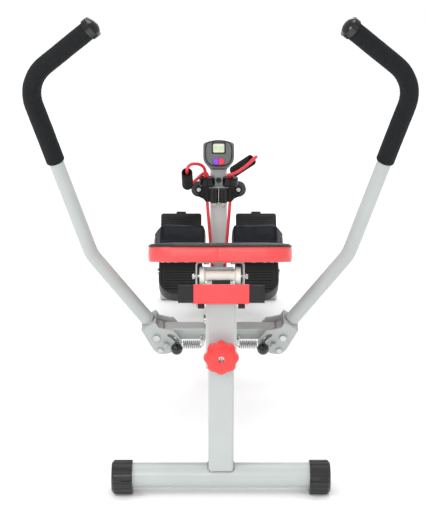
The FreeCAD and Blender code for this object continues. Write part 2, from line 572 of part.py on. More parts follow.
# ---------------------------------------------------------------- swinging crossbar, damper and arms
def crossbar():
    half = BAR / 2
    tube = square_tube(BAR, BAR, 2, -PIVOT_X, PIVOT_X, 3.0)
    tube.rotate(V(0, 0, 0), V(0, 1, 0), 90)
    bushes, bores = [], []
    for side in (-1, 1):
        ends = [V(side * PIVOT_X, w, 0) for w in (-23, 23)]
        bushes.append(fuse(rod(18, V(side * PIVOT_X, -18.2, 0), V(side * PIVOT_X, 18.2, 0)),
                           rod(12, *ends)).cut(rod(PIVOT_R, *ends)))
        bores.append(rod(18, V(side * PIVOT_X, -40, 0), V(side * PIVOT_X, 40, 0)))
    bar = fuse(tube.cut(bores), *bushes)
    lugs = []
    for side in (-1, 1):
        x0 = 21.0 if side > 0 else -26.0
        lug = slab([(-16, 14, 0), (16, 14, 0), (16, SWING_T + 16, 15.9), (-16, SWING_T + 16, 15.9)],
                   lambda a, b: V(x0, a, b), V(5, 0, 0))
        lugs.append(lug.cut(rod(SWING_R, V(-60, 0, SWING_T), V(60, 0, SWING_T))))
        x1 = 9.0 if side > 0 else -13.0
        ear = slab([(-13, -14, 0), (-13, DAMPER_PIN_T - 12, 11.9), (13, DAMPER_PIN_T - 12, 11.9),
                    (13, -14, 0)], lambda a, b: V(x1, a, b), V(4, 0, 0))
        lugs.append(ear.cut(rod(PIN_R, V(-60, 0, DAMPER_PIN_T), V(60, 0, DAMPER_PIN_T))))
    save("crossbar", on_swing(fuse(bar, *lugs)))

    axle = fuse(rod(SWING_R, V(-34.5, 0, SWING_T), V(34.5, 0, SWING_T)),
                rod(12, V(-36.8, 0, SWING_T), V(-26, 0, SWING_T)).cut(
                    rod(SWING_R, V(-34, 0, SWING_T), V(-20, 0, SWING_T))),
                rod(12, V(26, 0, SWING_T), V(36.8, 0, SWING_T)).cut(
                    rod(SWING_R, V(20, 0, SWING_T), V(34, 0, SWING_T))))
    save("swing_axle", on_swing(axle))

    bolts = [bolt(V(x, -32.5, 0), V(x, 32.5, 0), PIVOT_R, 14.5, 5) for x in (-PIVOT_X, PIVOT_X)]
    bolts += [fuse(rod(3, V(side * ANCHOR_X, -35, ANCHOR_T), V(side * ANCHOR_X, -half, ANCHOR_T)),
                   hexagon(11, V(side * ANCHOR_X, -19, ANCHOR_T), V(side * ANCHOR_X, -half, ANCHOR_T)),
                   rod(5.5, V(side * ANCHOR_X, -37, ANCHOR_T), V(side * ANCHOR_X, -34.5, ANCHOR_T)))
              for side in (-1, 1)]
    bolts.append(bolt(V(-18.5, 0, DAMPER_PIN_T), V(18.5, 0, DAMPER_PIN_T), PIN_R, 15, 5))
    save("swing_bolts", *(on_swing(b) for b in bolts))


def damper():
    """Oil damper from the ears at the rail's rear to the ears under the crossbar."""
    axis = DAMPER_FRONT - DAMPER_REAR
    length = axis.Length
    axis.normalize()

    def at(distance):
        return DAMPER_REAR + axis * distance

    side = V(1, 0, 0)
    eye = pipe(12, PIN_R + FIT, DAMPER_REAR - side * 9.7, DAMPER_REAR + side * 9.7)
    neck = rod(8, at(10), at(30)).cut(rod(11, DAMPER_REAR - side * 20, DAMPER_REAR + side * 20))
    body = rod(18, at(28), at(238))
    dial = rod(20.5, at(214), at(232))
    bore = rod(6 + FIT, at(60), at(239))
    save("damper_cylinder", fuse(eye, neck, body, dial).cut(bore))
    ring = pipe(14.0, PIN_R + 4.2, DAMPER_FRONT - side * 7, DAMPER_FRONT + side * 7)
    stem = rod(6, at(160), at(length - 12))
    save("damper_rod", fuse(ring, stem))


def arm(side):
    """Handle arm: bent tube on a folded bracket whose plates straddle the crossbar's end."""
    base, knee, elbow, tip = (V(x, 0, t) for x, t in ARM_PATH)
    along = knee - base
    along.normalize()
    across = V(along.z, 0, -along.x)
    web_in, web_out = base - across * 19, base + across * 19
    plate = [(web_in.x, web_in.z, 1), (138, 26, 2), (112, 19, 6), (106, 20, 4), (87, -6, 5), (86, -24, 8),
             (116, -45, 10), (138, -47, 10), (150, -36, 10), (web_out.x, web_out.z, 1)]
    plates = [slab(plate, lambda a, b: V(a, w0, b), V(0, PLATE_W1 - PLATE_W0, 0))
              for w0 in (-PLATE_W1, PLATE_W0)]
    web_corners = [web_in, web_out, web_out + along * 4, web_in + along * 4]
    web = slab([(p.x, p.z) for p in web_corners], lambda a, b: V(a, -PLATE_W1, b), V(0, 2 * PLATE_W1, 0))
    slot_tools = []
    steps = 7
    angles = [math.radians(LATCH_REST + (LATCH_OPEN - LATCH_REST) * i / (steps - 1)) for i in range(steps)]
    for angle in angles:
        x, t = LATCH_X + LATCH_RADIUS * math.cos(angle), LATCH_T + LATCH_RADIUS * math.sin(angle)
        slot_tools.append(rod(4.7, V(x, -40, t), V(x, -10, t)))
    ring = pipe(LATCH_RADIUS + 4.7, LATCH_RADIUS - 4.7, V(LATCH_X, -40, LATCH_T), V(LATCH_X, -10, LATCH_T))
    wedge = slab([(LATCH_X, LATCH_T)] + [(LATCH_X + 200 * math.cos(a), LATCH_T + 200 * math.sin(a))
                                         for a in (angles[0], angles[-1])],
                 lambda a, b: V(a, -40, b), V(0, 30, 0))
    holes = [slot_tools[0], slot_tools[-1], ring.common(wedge),
             rod(PIVOT_R + FIT, V(PIVOT_X, -50, 0), V(PIVOT_X, 50, 0)),
             rod(LATCH_PIN_R + FIT, V(LATCH_X, -50, LATCH_T), V(LATCH_X, 50, LATCH_T))]
    stud = fuse(rod(3, V(STUD_X, -PLATE_W1, STUD_T), V(STUD_X, -37, STUD_T)),
                hexagon(10, V(STUD_X, -36, STUD_T), V(STUD_X, -33.5, STUD_T)))
    bracket = fuse(plates[0], plates[1], web).cut(holes)
    start = base + along * 4
    path = [start, knee, elbow, tip]
    tube = sweep(path, ARM_BENDS, ARM_R).cut(sweep(path, ARM_BENDS, ARM_R - ARM_WALL))
    name = "left" if side < 0 else "right"
    save("arm_" + name, on_swing(mirrored(fuse(bracket, stud, tube), side)))

    up = elbow - knee
    up.normalize()
    end = tip - elbow
    end.normalize()
    foam_path = [elbow - up * GRIP_START, elbow, tip - end * PLUG_BACK]
    foam = sweep(foam_path, [ARM_BENDS[1]], GRIP_R).cut(sweep(path, ARM_BENDS, ARM_R + 0.02))
    save("arm_grip_" + name, on_swing(mirrored(foam, side)))

    dome = Part.makeSphere(30.0, tip - end * 17.0).common(rod(PLUG_R, tip + end * 2, tip + end * 30))
    collar = rod(PLUG_R, tip - end * PLUG_BACK, tip + end * 4)
    collar = collar.cut(rod(ARM_R, tip - end * 30, tip))
    core = rod(ARM_R - ARM_WALL, tip - end * 18, tip)
    save("arm_plug_" + name, on_swing(mirrored(fuse(collar, dome, core), side)))


def latch(side):
    """Latch plate behind the bracket's front plate, with its pivot pin, stem and ball knob."""
    rest = math.radians(LATCH_REST)
    arms = []
    for degrees in (136, 145, 154, 163):
        angle = math.radians(degrees)
        arms.append((LATCH_X + 53 * math.cos(angle), LATCH_T + 53 * math.sin(angle), 3))
    points = [(LATCH_X + 9, LATCH_T + 3, 5), (LATCH_X - 2, LATCH_T + 10, 5)] + arms + \
             [(LATCH_X - 4, LATCH_T - 10, 6), (LATCH_X + 8, LATCH_T - 7, 6)]
    plate = slab(points, lambda a, b: V(a, -21.7, b), V(0, 3, 0))
    pin = fuse(rod(LATCH_PIN_R, V(LATCH_X, -30, LATCH_T), V(LATCH_X, 30, LATCH_T)),
               hexagon(12, V(LATCH_X, -32, LATCH_T), V(LATCH_X, -PLATE_W1 - GAP, LATCH_T)),
               hexagon(12, V(LATCH_X, PLATE_W1 + GAP, LATCH_T), V(LATCH_X, 32, LATCH_T)))
    x, t = LATCH_X + LATCH_RADIUS * math.cos(rest), LATCH_T + LATCH_RADIUS * math.sin(rest)
    stem = rod(4, V(x, -50, t), V(x, -20, t))
    name = "left" if side < 0 else "right"
    save("latch_" + name, on_swing(mirrored(fuse(plate, pin, stem), side)))
    ball = Part.makeSphere(13.6, V(x, -57, t))
    collar = rod(6.5, V(x, -47, t), V(x, -38, t))
    save("latch_knob_" + name, on_swing(mirrored(fuse(ball, collar).cut(stem), side)))


def arm_spring(side):
    """Tension spring from the stud on the arm's bracket to the bolt on the crossbar."""
    length = SPRING_X1 - SPRING_X0
    coil_wire = Part.makeHelix(length / SPRING_TURNS, length, SPRING_R)
    start = V(SPRING_R, 0, 0)
    circle = Part.Wire(Part.makeCircle(WIRE_R, start, V(0, 1, 0.06)))
    coil = Part.Wire(coil_wire.Edges).makePipeShell([circle], True, True)
    coil.rotate(V(0, 0, 0), V(0, 1, 0), 90)
    coil.translate(V(SPRING_X0, SPRING_W, SPRING_T))
    outer = [V(SPRING_X1, SPRING_W, SPRING_T - SPRING_R), V(SPRING_X1 + 5, SPRING_W, SPRING_T - 4),
             V(STUD_X + 5.2, SPRING_W, SPRING_T - 4.8), V(STUD_X + 5.2, SPRING_W, SPRING_T + 4.8),
             V(STUD_X - 4, SPRING_W, SPRING_T + 4.8)]
    inner = [V(SPRING_X0, SPRING_W, SPRING_T - SPRING_R), V(SPRING_X0 - 6, SPRING_W, SPRING_T - 2),
             V(ANCHOR_X - 5.2, SPRING_W, ANCHOR_T - 2), V(ANCHOR_X - 5.2, SPRING_W, ANCHOR_T + 4.8),
             V(ANCHOR_X + 4, SPRING_W, ANCHOR_T + 4.8)]
    hooks = [sweep(points, [3.0, 2.5, 3.0], WIRE_R) for points in (outer, inner)]
    name = "left" if side < 0 else "right"
    save("arm_spring_" + name, on_swing(mirrored(fuse(coil, *hooks), side)))


# ---------------------------------------------------------------- foot plates
def pedal(side):
    """Foot plate on the pedal axle: ribbed tread, raised heel cup, flat toe and a strap over the instep."""
    def flat(points, n0, n1, radius=0.0):
        return slab(points, lambda a, b: V(a, b, n0), V(0, 0, n1 - n0), radius)

    x0, x1, heel, toe, n = PEDAL_X0, PEDAL_X1, PEDAL_HEEL, PEDAL_TOE, PEDAL_N
    shape = [(x0, heel, 44), (x1, heel, 44), (x1, 84, 4), (x1 - 3, 90, 3), (x1 - 3, toe, 7), (x0 + 3, toe, 7),
             (x0 + 3, 90, 3), (x0, 84, 4)]
    plate = flat(shape, n - 6, n)
    inner = [(x0 + 5, heel + 5, 39), (x1 - 5, heel + 5, 39), (x1 - 5, 20), (x0 + 5, 20)]
    wall = flat([(x0, heel, 44), (x1, heel, 44), (x1, 20), (x0, 20)], n - 26, n + 14)
    wall = wall.cut([flat(inner, n, n + 20), flat(inner, n - 30, n - 6)])
    slope = slab([(heel - 5, n + 14), (heel + 30, n + 14), (20, n + 3), (20, n + 40), (heel - 5, n + 40)],
                 lambda a, b: V(x0 - 5, a, b), V(x1 - x0 + 10, 0, 0))
    wall = wall.cut(slope)
    ribs = [box(x0 + 16, x1 - 16, u, u + 2.6, n, n + 1.6) for u in range(-84, 84, 8)]
    ribs += [box(x0 + 12 + k, x1 - 12 - k, toe - 12 - k, toe - 10 - k, n, n + 1.4) for k in (0, 7, 14, 21)]
    for k in (0, 7, 14):
        for x in (x0 + 12 + k, x1 - 14 - k):
            ribs.append(box(x, x + 2, 94, toe - 10 - k, n, n + 1.4))
    middle = (x0 + x1) / 2
    tab = flat(rectangle(middle - 13, middle + 13, toe - 6, toe + 6), n - 6, n, 3)
    webs = [slab([(-14, -14, 13.9), (14, -14, 13.9), (52, n - 5), (-70, n - 5)],
                 lambda a, b: V(x, a, b), V(5, 0, 0)) for x in (x0 + 10, x1 - 15)]
    hub = rod(12, V(x0 + 4, 0, 0), V(x1 - 4, 0, 0))
    body = fuse(plate, wall, tab, hub, *webs, *ribs).cut(
        rod(PEDAL_AXLE_R + FIT, V(0, 0, 0), V(200, 0, 0)))
    lug = [flat(rectangle(x, x + 3, 14, 82), n - 12, n + 6, 1) for x in (x0 - 3, x1)]
    body = fuse(body, *lug)
    name = "left" if side < 0 else "right"
    save("pedal_" + name, turned(mirrored(body, side), PEDAL_TILT, PEDAL_AXIS))

    def arch(grow):
        return [(x0 - 3.2 - grow, n - 6), (x0 - 7 - grow, n + 20, 14),
                (x0 - 2 - grow / 2, n + 50 + grow, 10 + grow), (x1 - 11 + grow / 2, n + 55 + grow, 10 + grow),
                (x1 + 9 + grow, n + 14, 16), (x1 + 3.2 + grow, n - 6)]
    outer = slab(arch(2.6), lambda a, b: V(a, 18, b), V(0, 60, 0))
    strap = outer.cut(slab(arch(0), lambda a, b: V(a, 10, b), V(0, 90, 0)))
    save("pedal_strap_" + name, turned(mirrored(strap, side), PEDAL_TILT, PEDAL_AXIS))


def pedal_axle():
    reach = PEDAL_X1 + 1
    y, z = PEDAL_AXIS.y, PEDAL_AXIS.z
    shaft = rod(PEDAL_AXLE_R, V(-reach, y, z), V(reach, y, z))
    ends = [rod(9, V(side * (reach - 1), y, z), V(side * (reach + 5), y, z)) for side in (-1, 1)]
    save("pedal_axle", fuse(shaft, *ends))


# ---------------------------------------------------------------- elastic pull bands
LEFT_LOOP = [(-35, 1181, 362), (-35, 1177, 384), (-38, 1168, 399), (-48, 1152, 411), (-62, 1131, 418),
             (-75, 1112, 420), (-82, 1103, 412), (-83, 1109, 401), (-82, 1168, 349), (-81, 1183, 343),
             (-70, 1196, 350), (-52, 1199, 366), (-38, 1194, 380), (-29, 1187, 378), (-28, 1185, 362)]
RIGHT_LOOP = [(27, 1181, 362), (26, 1170, 377), (25, 1149, 384), (31, 1123, 390), (46, 1101, 401),
              (62, 1087, 415), (76, 1077, 429), (88, 1075, 441), (97, 1085, 447), (96, 1099, 442),
              (85, 1107.5, 433), (40, 1144, 393.8), (37, 1165, 389), (35, 1183, 378), (35, 1184, 362)]
LEFT_HANDLE = ((-83, 1109, 401), (-82, 1168, 349))
RIGHT_HANDLE = ((85, 1107.5, 433), (40, 1144, 393.8))


def handle_ends(ends):
    """Grip centred on the loop's straight run, HANDLE_L long."""
    start, end = V(*ends[0]), V(*ends[1])
    axis = end - start
    axis.normalize()
    middle = (start + end) * 0.5
    return middle - axis * (HANDLE_L / 2), middle + axis * (HANDLE_L / 2)


def pull_band(side):
    name = "left" if side < 0 else "right"
    x = side * BAND_X
    taut = [V(side * 16, BAND_Y, 112), V(side * 17.5, BAND_Y, 130), V(side * 29.5, BAND_Y, 290),
            V(x, BAND_Y, 306), V(x, BAND_Y, STOPPER_Z + 18)]
    strand = sweep(taut, bend_radii(taut), BAND_R)
    points = [V(*p) for p in (LEFT_LOOP if side < 0 else RIGHT_LOOP)]
    radii = bend_radii(points)
    loop = sweep(points, radii, BAND_R)
    length = path_wire(points, radii).Length
    print("band", name, "length", round(length, 1), "least bend", round(min(radii), 1),
          "volume ratio", round(loop.Volume / (length * math.pi * BAND_R ** 2), 4))
    save("band_" + name, strand, loop)
    bottom = STOPPER_Z
    stopper = rod(STOPPER_R, V(x, BAND_Y - 2, bottom), V(x, BAND_Y - 2, bottom + STOPPER_H))
    stopper = stopper.makeFillet(4.0, [e for e in stopper.Edges if e.Closed])
    bore = BAND_R + STOPPER_CLEAR
    for room in (rod(bore, V(x, BAND_Y, bottom - 5), V(x, BAND_Y, bottom + 19)),
                 rod(BAND_R * 2, V(x, BAND_Y, 361), V(x, BAND_Y, 400)),
                 sweep(points, radii, bore)):
        stopper = stopper.cut(room)
    save("band_stopper_" + name, max(stopper.Solids, key=lambda solid: solid.Volume))
    start, end = handle_ends(LEFT_HANDLE if side < 0 else RIGHT_HANDLE)
    save("band_handle_" + name, pipe(HANDLE_R, HANDLE_BORE, start, end))


def build():
    os.makedirs("parts", exist_ok=True)
    rear_stand()
    rail()
    post_sleeve()
    height_knob()
    rear_end()
    rail_brackets()
    swing_hanger()
    front_stand()
    band_guide()
    console()
    frame_screws()
    seat()
    crossbar()
    damper()
    pedal_axle()
    for side in (-1, 1):
        arm(side)
        latch(side)
        arm_spring(side)
        pedal(side)
        pull_band(side)
    whole = Part.makeCompound(list(parts.values()))
    size = whole.BoundBox
    print("nodes", len(parts), "box", [round(v, 2) for v in (size.XMin, size.XMax, size.YMin, size.YMax,
                                                          size.ZMin, size.ZMax)])
    for node, shape in parts.items():
        if not shape.isValid() or shape.Volume <= 0:
            print("check", node, shape.isValid(), round(shape.Volume, 1))


build()
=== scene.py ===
import json
import math

import bpy
import numpy as np
from mathutils import Matrix, Vector, noise


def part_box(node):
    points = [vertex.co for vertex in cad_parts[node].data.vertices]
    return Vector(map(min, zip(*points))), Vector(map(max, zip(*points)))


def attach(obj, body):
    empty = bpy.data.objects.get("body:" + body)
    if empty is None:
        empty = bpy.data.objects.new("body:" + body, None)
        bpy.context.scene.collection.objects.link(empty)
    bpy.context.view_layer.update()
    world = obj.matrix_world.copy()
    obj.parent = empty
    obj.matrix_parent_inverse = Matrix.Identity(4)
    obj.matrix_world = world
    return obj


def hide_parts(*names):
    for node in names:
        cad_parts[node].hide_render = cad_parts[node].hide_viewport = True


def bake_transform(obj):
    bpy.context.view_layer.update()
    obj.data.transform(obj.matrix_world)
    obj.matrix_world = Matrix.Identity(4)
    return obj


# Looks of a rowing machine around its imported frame: materials for every CAD part, and modelled pieces
# for what is soft or fine: seat, foam grips, straps, elastic bands, springs, weld beads and stitches.
# Metres, in the row's frame: +Y runs from the rear post to the console, +X to the right, +Z up.

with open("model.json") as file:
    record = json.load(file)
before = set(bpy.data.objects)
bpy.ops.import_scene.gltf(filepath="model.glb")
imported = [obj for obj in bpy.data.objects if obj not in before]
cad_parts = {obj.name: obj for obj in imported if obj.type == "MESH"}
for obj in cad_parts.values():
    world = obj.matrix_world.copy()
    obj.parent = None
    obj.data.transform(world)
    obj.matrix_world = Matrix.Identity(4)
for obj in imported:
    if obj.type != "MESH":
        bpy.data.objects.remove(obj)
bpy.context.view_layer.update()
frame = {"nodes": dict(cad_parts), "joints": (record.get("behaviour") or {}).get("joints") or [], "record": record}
NODES = frame["nodes"]
JOINTS = {joint["name"]: joint for joint in frame["joints"]}
SIDES = (("left", -1), ("right", 1))


# ---------------------------------------------------------------- places worked out from the frame
def centre_of(node):
    low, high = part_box(node)
    return (low + high) / 2


def joint_place(name):
    return Vector(JOINTS[name]["pos_m"])


POST_Y = centre_of("rear_post").y
SLOPE = -math.asin(JOINTS["seat_slide"]["axis"][2])
LEAN = math.asin(JOINTS["arm_fold_left"]["axis"][2])
RAIL_TOP = 0.435
PIVOT = joint_place("arm_fold_right")
PEDAL_TILT = math.radians(44.4)


def tilted(angle, origin):
    """Axes turned about +X by the angle, with their origin at the given place."""
    return Matrix.Translation(origin) @ Matrix.Rotation(angle, 4, "X")


RAIL = tilted(-SLOPE, (0, POST_Y, RAIL_TOP))
SWING = tilted(LEAN, (0, PIVOT.y, PIVOT.z))
PEDAL = tilted(PEDAL_TILT, (0, joint_place("foot_tilt_left").y, joint_place("foot_tilt_left").z))


# ---------------------------------------------------------------- materials
class Paint:
    """A material's node tree, built with short calls. Patterns are in metres on the object's own axes."""

    def __init__(self, name, color, rough, metal=0.0):
        self.material = bpy.data.materials.new(name)
        self.material.use_nodes = True
        self.tree = self.material.node_tree
        self.shader = self.tree.nodes["Principled BSDF"]
        self.shader.inputs["Base Color"].default_value = (*color, 1)
        self.shader.inputs["Roughness"].default_value = rough
        self.shader.inputs["Metallic"].default_value = metal
        self.material.diffuse_color = (*color, 1)
        self.color = color
        self.rough = rough
        self.place = self.node("ShaderNodeTexCoord").outputs["Object"]
        self.normal = None

    def node(self, kind, **values):
        made = self.tree.nodes.new(kind)
        for key, value in values.items():
            if hasattr(made, key):
                setattr(made, key, value)
            else:
                made.inputs[key.replace("_", " ").title()].default_value = value
        return made

    def link(self, start, end):
        self.tree.links.new(start, end)

    def noise(self, size, detail=3.0, stretch=(1, 1, 1), roughness=0.5):
        """Noise whose features are about size metres across."""
        place = self.place
        if stretch != (1, 1, 1):
            mapping = self.node("ShaderNodeMapping")
            mapping.inputs["Scale"].default_value = stretch
            self.link(self.place, mapping.inputs["Vector"])
            place = mapping.outputs["Vector"]
        made = self.node("ShaderNodeTexNoise")
        made.inputs["Scale"].default_value = 1 / size
        made.inputs["Detail"].default_value = detail
        made.inputs["Roughness"].default_value = roughness
        self.link(place, made.inputs["Vector"])
        return made.outputs["Fac"]

    def cells(self, size, feature="F1"):
        made = self.node("ShaderNodeTexVoronoi")
        made.feature = feature
        made.inputs["Scale"].default_value = 1 / size
        self.link(self.place, made.inputs["Vector"])
        return made.outputs["Distance"]

    def ranged(self, value, low, high, start=0.3, end=0.7):
        """value from start..end mapped to low..high."""
        made = self.node("ShaderNodeMapRange")
        for key, number in (("From Min", start), ("From Max", end), ("To Min", low), ("To Max", high)):
            made.inputs[key].default_value = number
        self.link(value, made.inputs["Value"])
        return made.outputs["Result"]

    def math(self, operation, a, b):
        made = self.node("ShaderNodeMath", operation=operation)
        for i, value in enumerate((a, b)):
            if isinstance(value, (int, float)):
                made.inputs[i].default_value = value
            else:
                self.link(value, made.inputs[i])
        return made.outputs[0]

    def tint(self, amount, color):
        """Mixes a second colour in by amount, over what the base colour is so far."""
        mix = self.node("ShaderNodeMix", data_type="RGBA")
        base = self.shader.inputs["Base Color"]
        if base.is_linked:
            self.link(base.links[0].from_socket, mix.inputs[6])
        else:
            mix.inputs[6].default_value = base.default_value
        mix.inputs[7].default_value = (*color, 1)
        self.link(amount, mix.inputs[0])
        self.link(mix.outputs[2], base)
        return self

    def vary(self, size, amount, detail=3.0):
        """Uneven shade, darker by amount in places."""
        darker = tuple(c * (1 - amount) for c in self.color)
        return self.tint(self.ranged(self.noise(size, detail), 0, 1), darker)

    def sheen_range(self, size, spread):
        value = self.ranged(self.noise(size), self.rough - spread, self.rough + spread)
        self.link(value, self.shader.inputs["Roughness"])
        return self

    def soften(self, radius):
        """Rounds the look of machined edges by this radius."""
        made = self.node("ShaderNodeBevel", samples=4)
        made.inputs["Radius"].default_value = radius
        self.normal = made.outputs["Normal"]
        self.link(self.normal, self.shader.inputs["Normal"])
        return self

    def bump(self, height, distance, strength=1.0):
        made = self.node("ShaderNodeBump")
        made.inputs["Strength"].default_value = strength
        made.inputs["Distance"].default_value = distance
        self.link(height, made.inputs["Height"])
        if self.normal is not None:
            self.link(self.normal, made.inputs["Normal"])
        self.normal = made.outputs["Normal"]
        self.link(self.normal, self.shader.inputs["Normal"])
        return self

    def worn_edges(self, radius, color, amount=0.6):
        """Paint or plastic that is paler where its edges have rubbed."""
        rounded = self.node("ShaderNodeBevel", samples=4)
        rounded.inputs["Radius"].default_value = radius
        flat = self.node("ShaderNodeNewGeometry")
        dot = self.node("ShaderNodeVectorMath", operation="DOT_PRODUCT")
        self.link(rounded.outputs["Normal"], dot.inputs[0])
        self.link(flat.outputs["Normal"], dot.inputs[1])
        edge = self.ranged(dot.outputs["Value"], amount, 0, 0.82, 0.97)
        patchy = self.math("MULTIPLY", edge, self.ranged(self.noise(0.006), 0, 1, 0.4, 0.6))
        return self.tint(patchy, color)

    def coat(self, weight, rough):
        self.shader.inputs["Coat Weight"].default_value = weight
        self.shader.inputs["Coat Roughness"].default_value = rough
        return self

    def sheen(self, weight, rough=0.5):
        self.shader.inputs["Sheen Weight"].default_value = weight
        self.shader.inputs["Sheen Roughness"].default_value = rough
        return self


def silver_paint(name="silver_paint", color=(0.475, 0.505, 0.498), metal=0.08, worn=True):
    paint = Paint(name, color, 0.42, metal)
    paint.vary(0.05, 0.05).sheen_range(0.02, 0.05)
    if worn:
        paint.worn_edges(0.0009, (0.72, 0.73, 0.73), 0.5)
    paint.soften(0.0009)
    return paint.bump(paint.noise(0.0016, 2), 0.00006, 0.5).coat(0.15, 0.2).material


def zinc(name="zinc_steel", color=(0.72, 0.72, 0.70), rough=0.24):
    paint = Paint(name, color, rough, 1.0)
    paint.vary(0.004, 0.18).sheen_range(0.003, 0.09)
    paint.soften(0.0004)
    return paint.bump(paint.noise(0.0007, 2), 0.00002, 0.5).material


def moulded(name, color, rough, grain=0.0012, depth=0.00008, edge=0.0007, pale=None, coat=0.0, specular=0.4):
    """Injection moulded plastic with a spark-eroded texture."""
    paint = Paint(name, color, rough)
    paint.shader.inputs["Specular IOR Level"].default_value = specular
    paint.vary(0.03, 0.10).sheen_range(0.012, 0.06)
    paint.worn_edges(edge, pale or tuple(min(1, c * 1.5 + 0.02) for c in color), 0.5)
    paint.soften(edge)
    return paint.bump(paint.cells(grain), depth, 0.6).coat(coat, 0.25).material


def foam(name="foam", color=(0.011, 0.0125, 0.0135)):
    """Closed cell foam: cut pores with painted shade in them, a dull skin and a little lint."""
    paint = Paint(name, color, 0.9)
    paint.shader.inputs["Specular IOR Level"].default_value = 0.25
    paint.vary(0.012, 0.25)
    pores = paint.cells(0.0016)
    # Painted shade: the pits of the pores are tinted darker.
    paint.tint(paint.ranged(pores, 0.8, 0, 0.05, 0.35), (0.008, 0.009, 0.009))
    paint.tint(paint.ranged(paint.noise(0.0009, 2), 0, 0.5, 0.62, 0.75), (0.05, 0.05, 0.05))
    paint.bump(pores, 0.0006, 0.8)
    paint.bump(paint.noise(0.004, 4), 0.0008, 0.5)
    return paint.sheen(0.03).material


def vinyl(name, color, rough, grain=0.0016, depth=0.0002, coat=0.15):
    """Grained upholstery vinyl: pebbles with fine creases between them, the creases darkened with painted shade.
    """
    paint = Paint(name, color, rough)
    paint.vary(0.05, 0.08).sheen_range(0.03, 0.06)
    creases = paint.cells(grain, "DISTANCE_TO_EDGE")
    # Painted shade: the creases between the pebbles are tinted darker.
    paint.tint(paint.ranged(creases, 0.35, 0, 0.0, 0.12), tuple(c * 0.6 for c in color))
    paint.bump(paint.ranged(creases, 0, 1, 0.0, 0.35), depth, 0.7)
    paint.bump(paint.noise(0.022, 2), 0.0010, 0.35)
    return paint.coat(coat, 0.3).material


def elastic():
    """Latex cord, slightly translucent, with a faint fine bump."""
    paint = Paint("red_rubber", (0.80, 0.035, 0.05), 0.42)
    paint.vary(0.012, 0.16).sheen_range(0.01, 0.08)
    paint.shader.inputs["Subsurface Weight"].default_value = 0.15
    paint.shader.inputs["Subsurface Radius"].default_value = (0.003, 0.001, 0.001)
    return paint.bump(paint.noise(0.0014, 3), 0.0002, 0.4).coat(0.2, 0.3).material


def webbing():
    """Rubbery woven strap: ribs across its width."""
    paint = Paint("webbing", (0.005, 0.006, 0.010), 0.40)
    paint.shader.inputs["Specular IOR Level"].default_value = 0.2
    paint.vary(0.02, 0.2)
    weave = paint.node("ShaderNodeTexWave", wave_type="BANDS", bands_direction="X")
    weave.inputs["Scale"].default_value = 160
    weave.inputs["Distortion"].default_value = 0.4
    paint.link(paint.place, weave.inputs["Vector"])
    paint.bump(weave.outputs["Fac"], 0.0002, 0.5)
    paint.bump(paint.cells(0.0011), 0.0002, 0.4)
    return paint.coat(0.08, 0.3).material


def display():
    """Reflective liquid crystal window."""
    paint = Paint("display", (0.71, 0.78, 0.56), 0.35)
    paint.vary(0.01, 0.06)
    paint.bump(paint.noise(0.0006, 1), 0.00001, 0.4)
    return paint.coat(0.8, 0.08).material


def board():
    """Black dust cover stapled under the seat."""
    paint = Paint("dust_cover", (0.02, 0.02, 0.022), 0.9)
    paint.vary(0.01, 0.3)
    weave = paint.node("ShaderNodeTexWave", wave_type="BANDS", bands_direction="Y")
    weave.inputs["Scale"].default_value = 300
    paint.link(paint.place, weave.inputs["Vector"])
    return paint.bump(weave.outputs["Fac"], 0.0002, 0.5).material


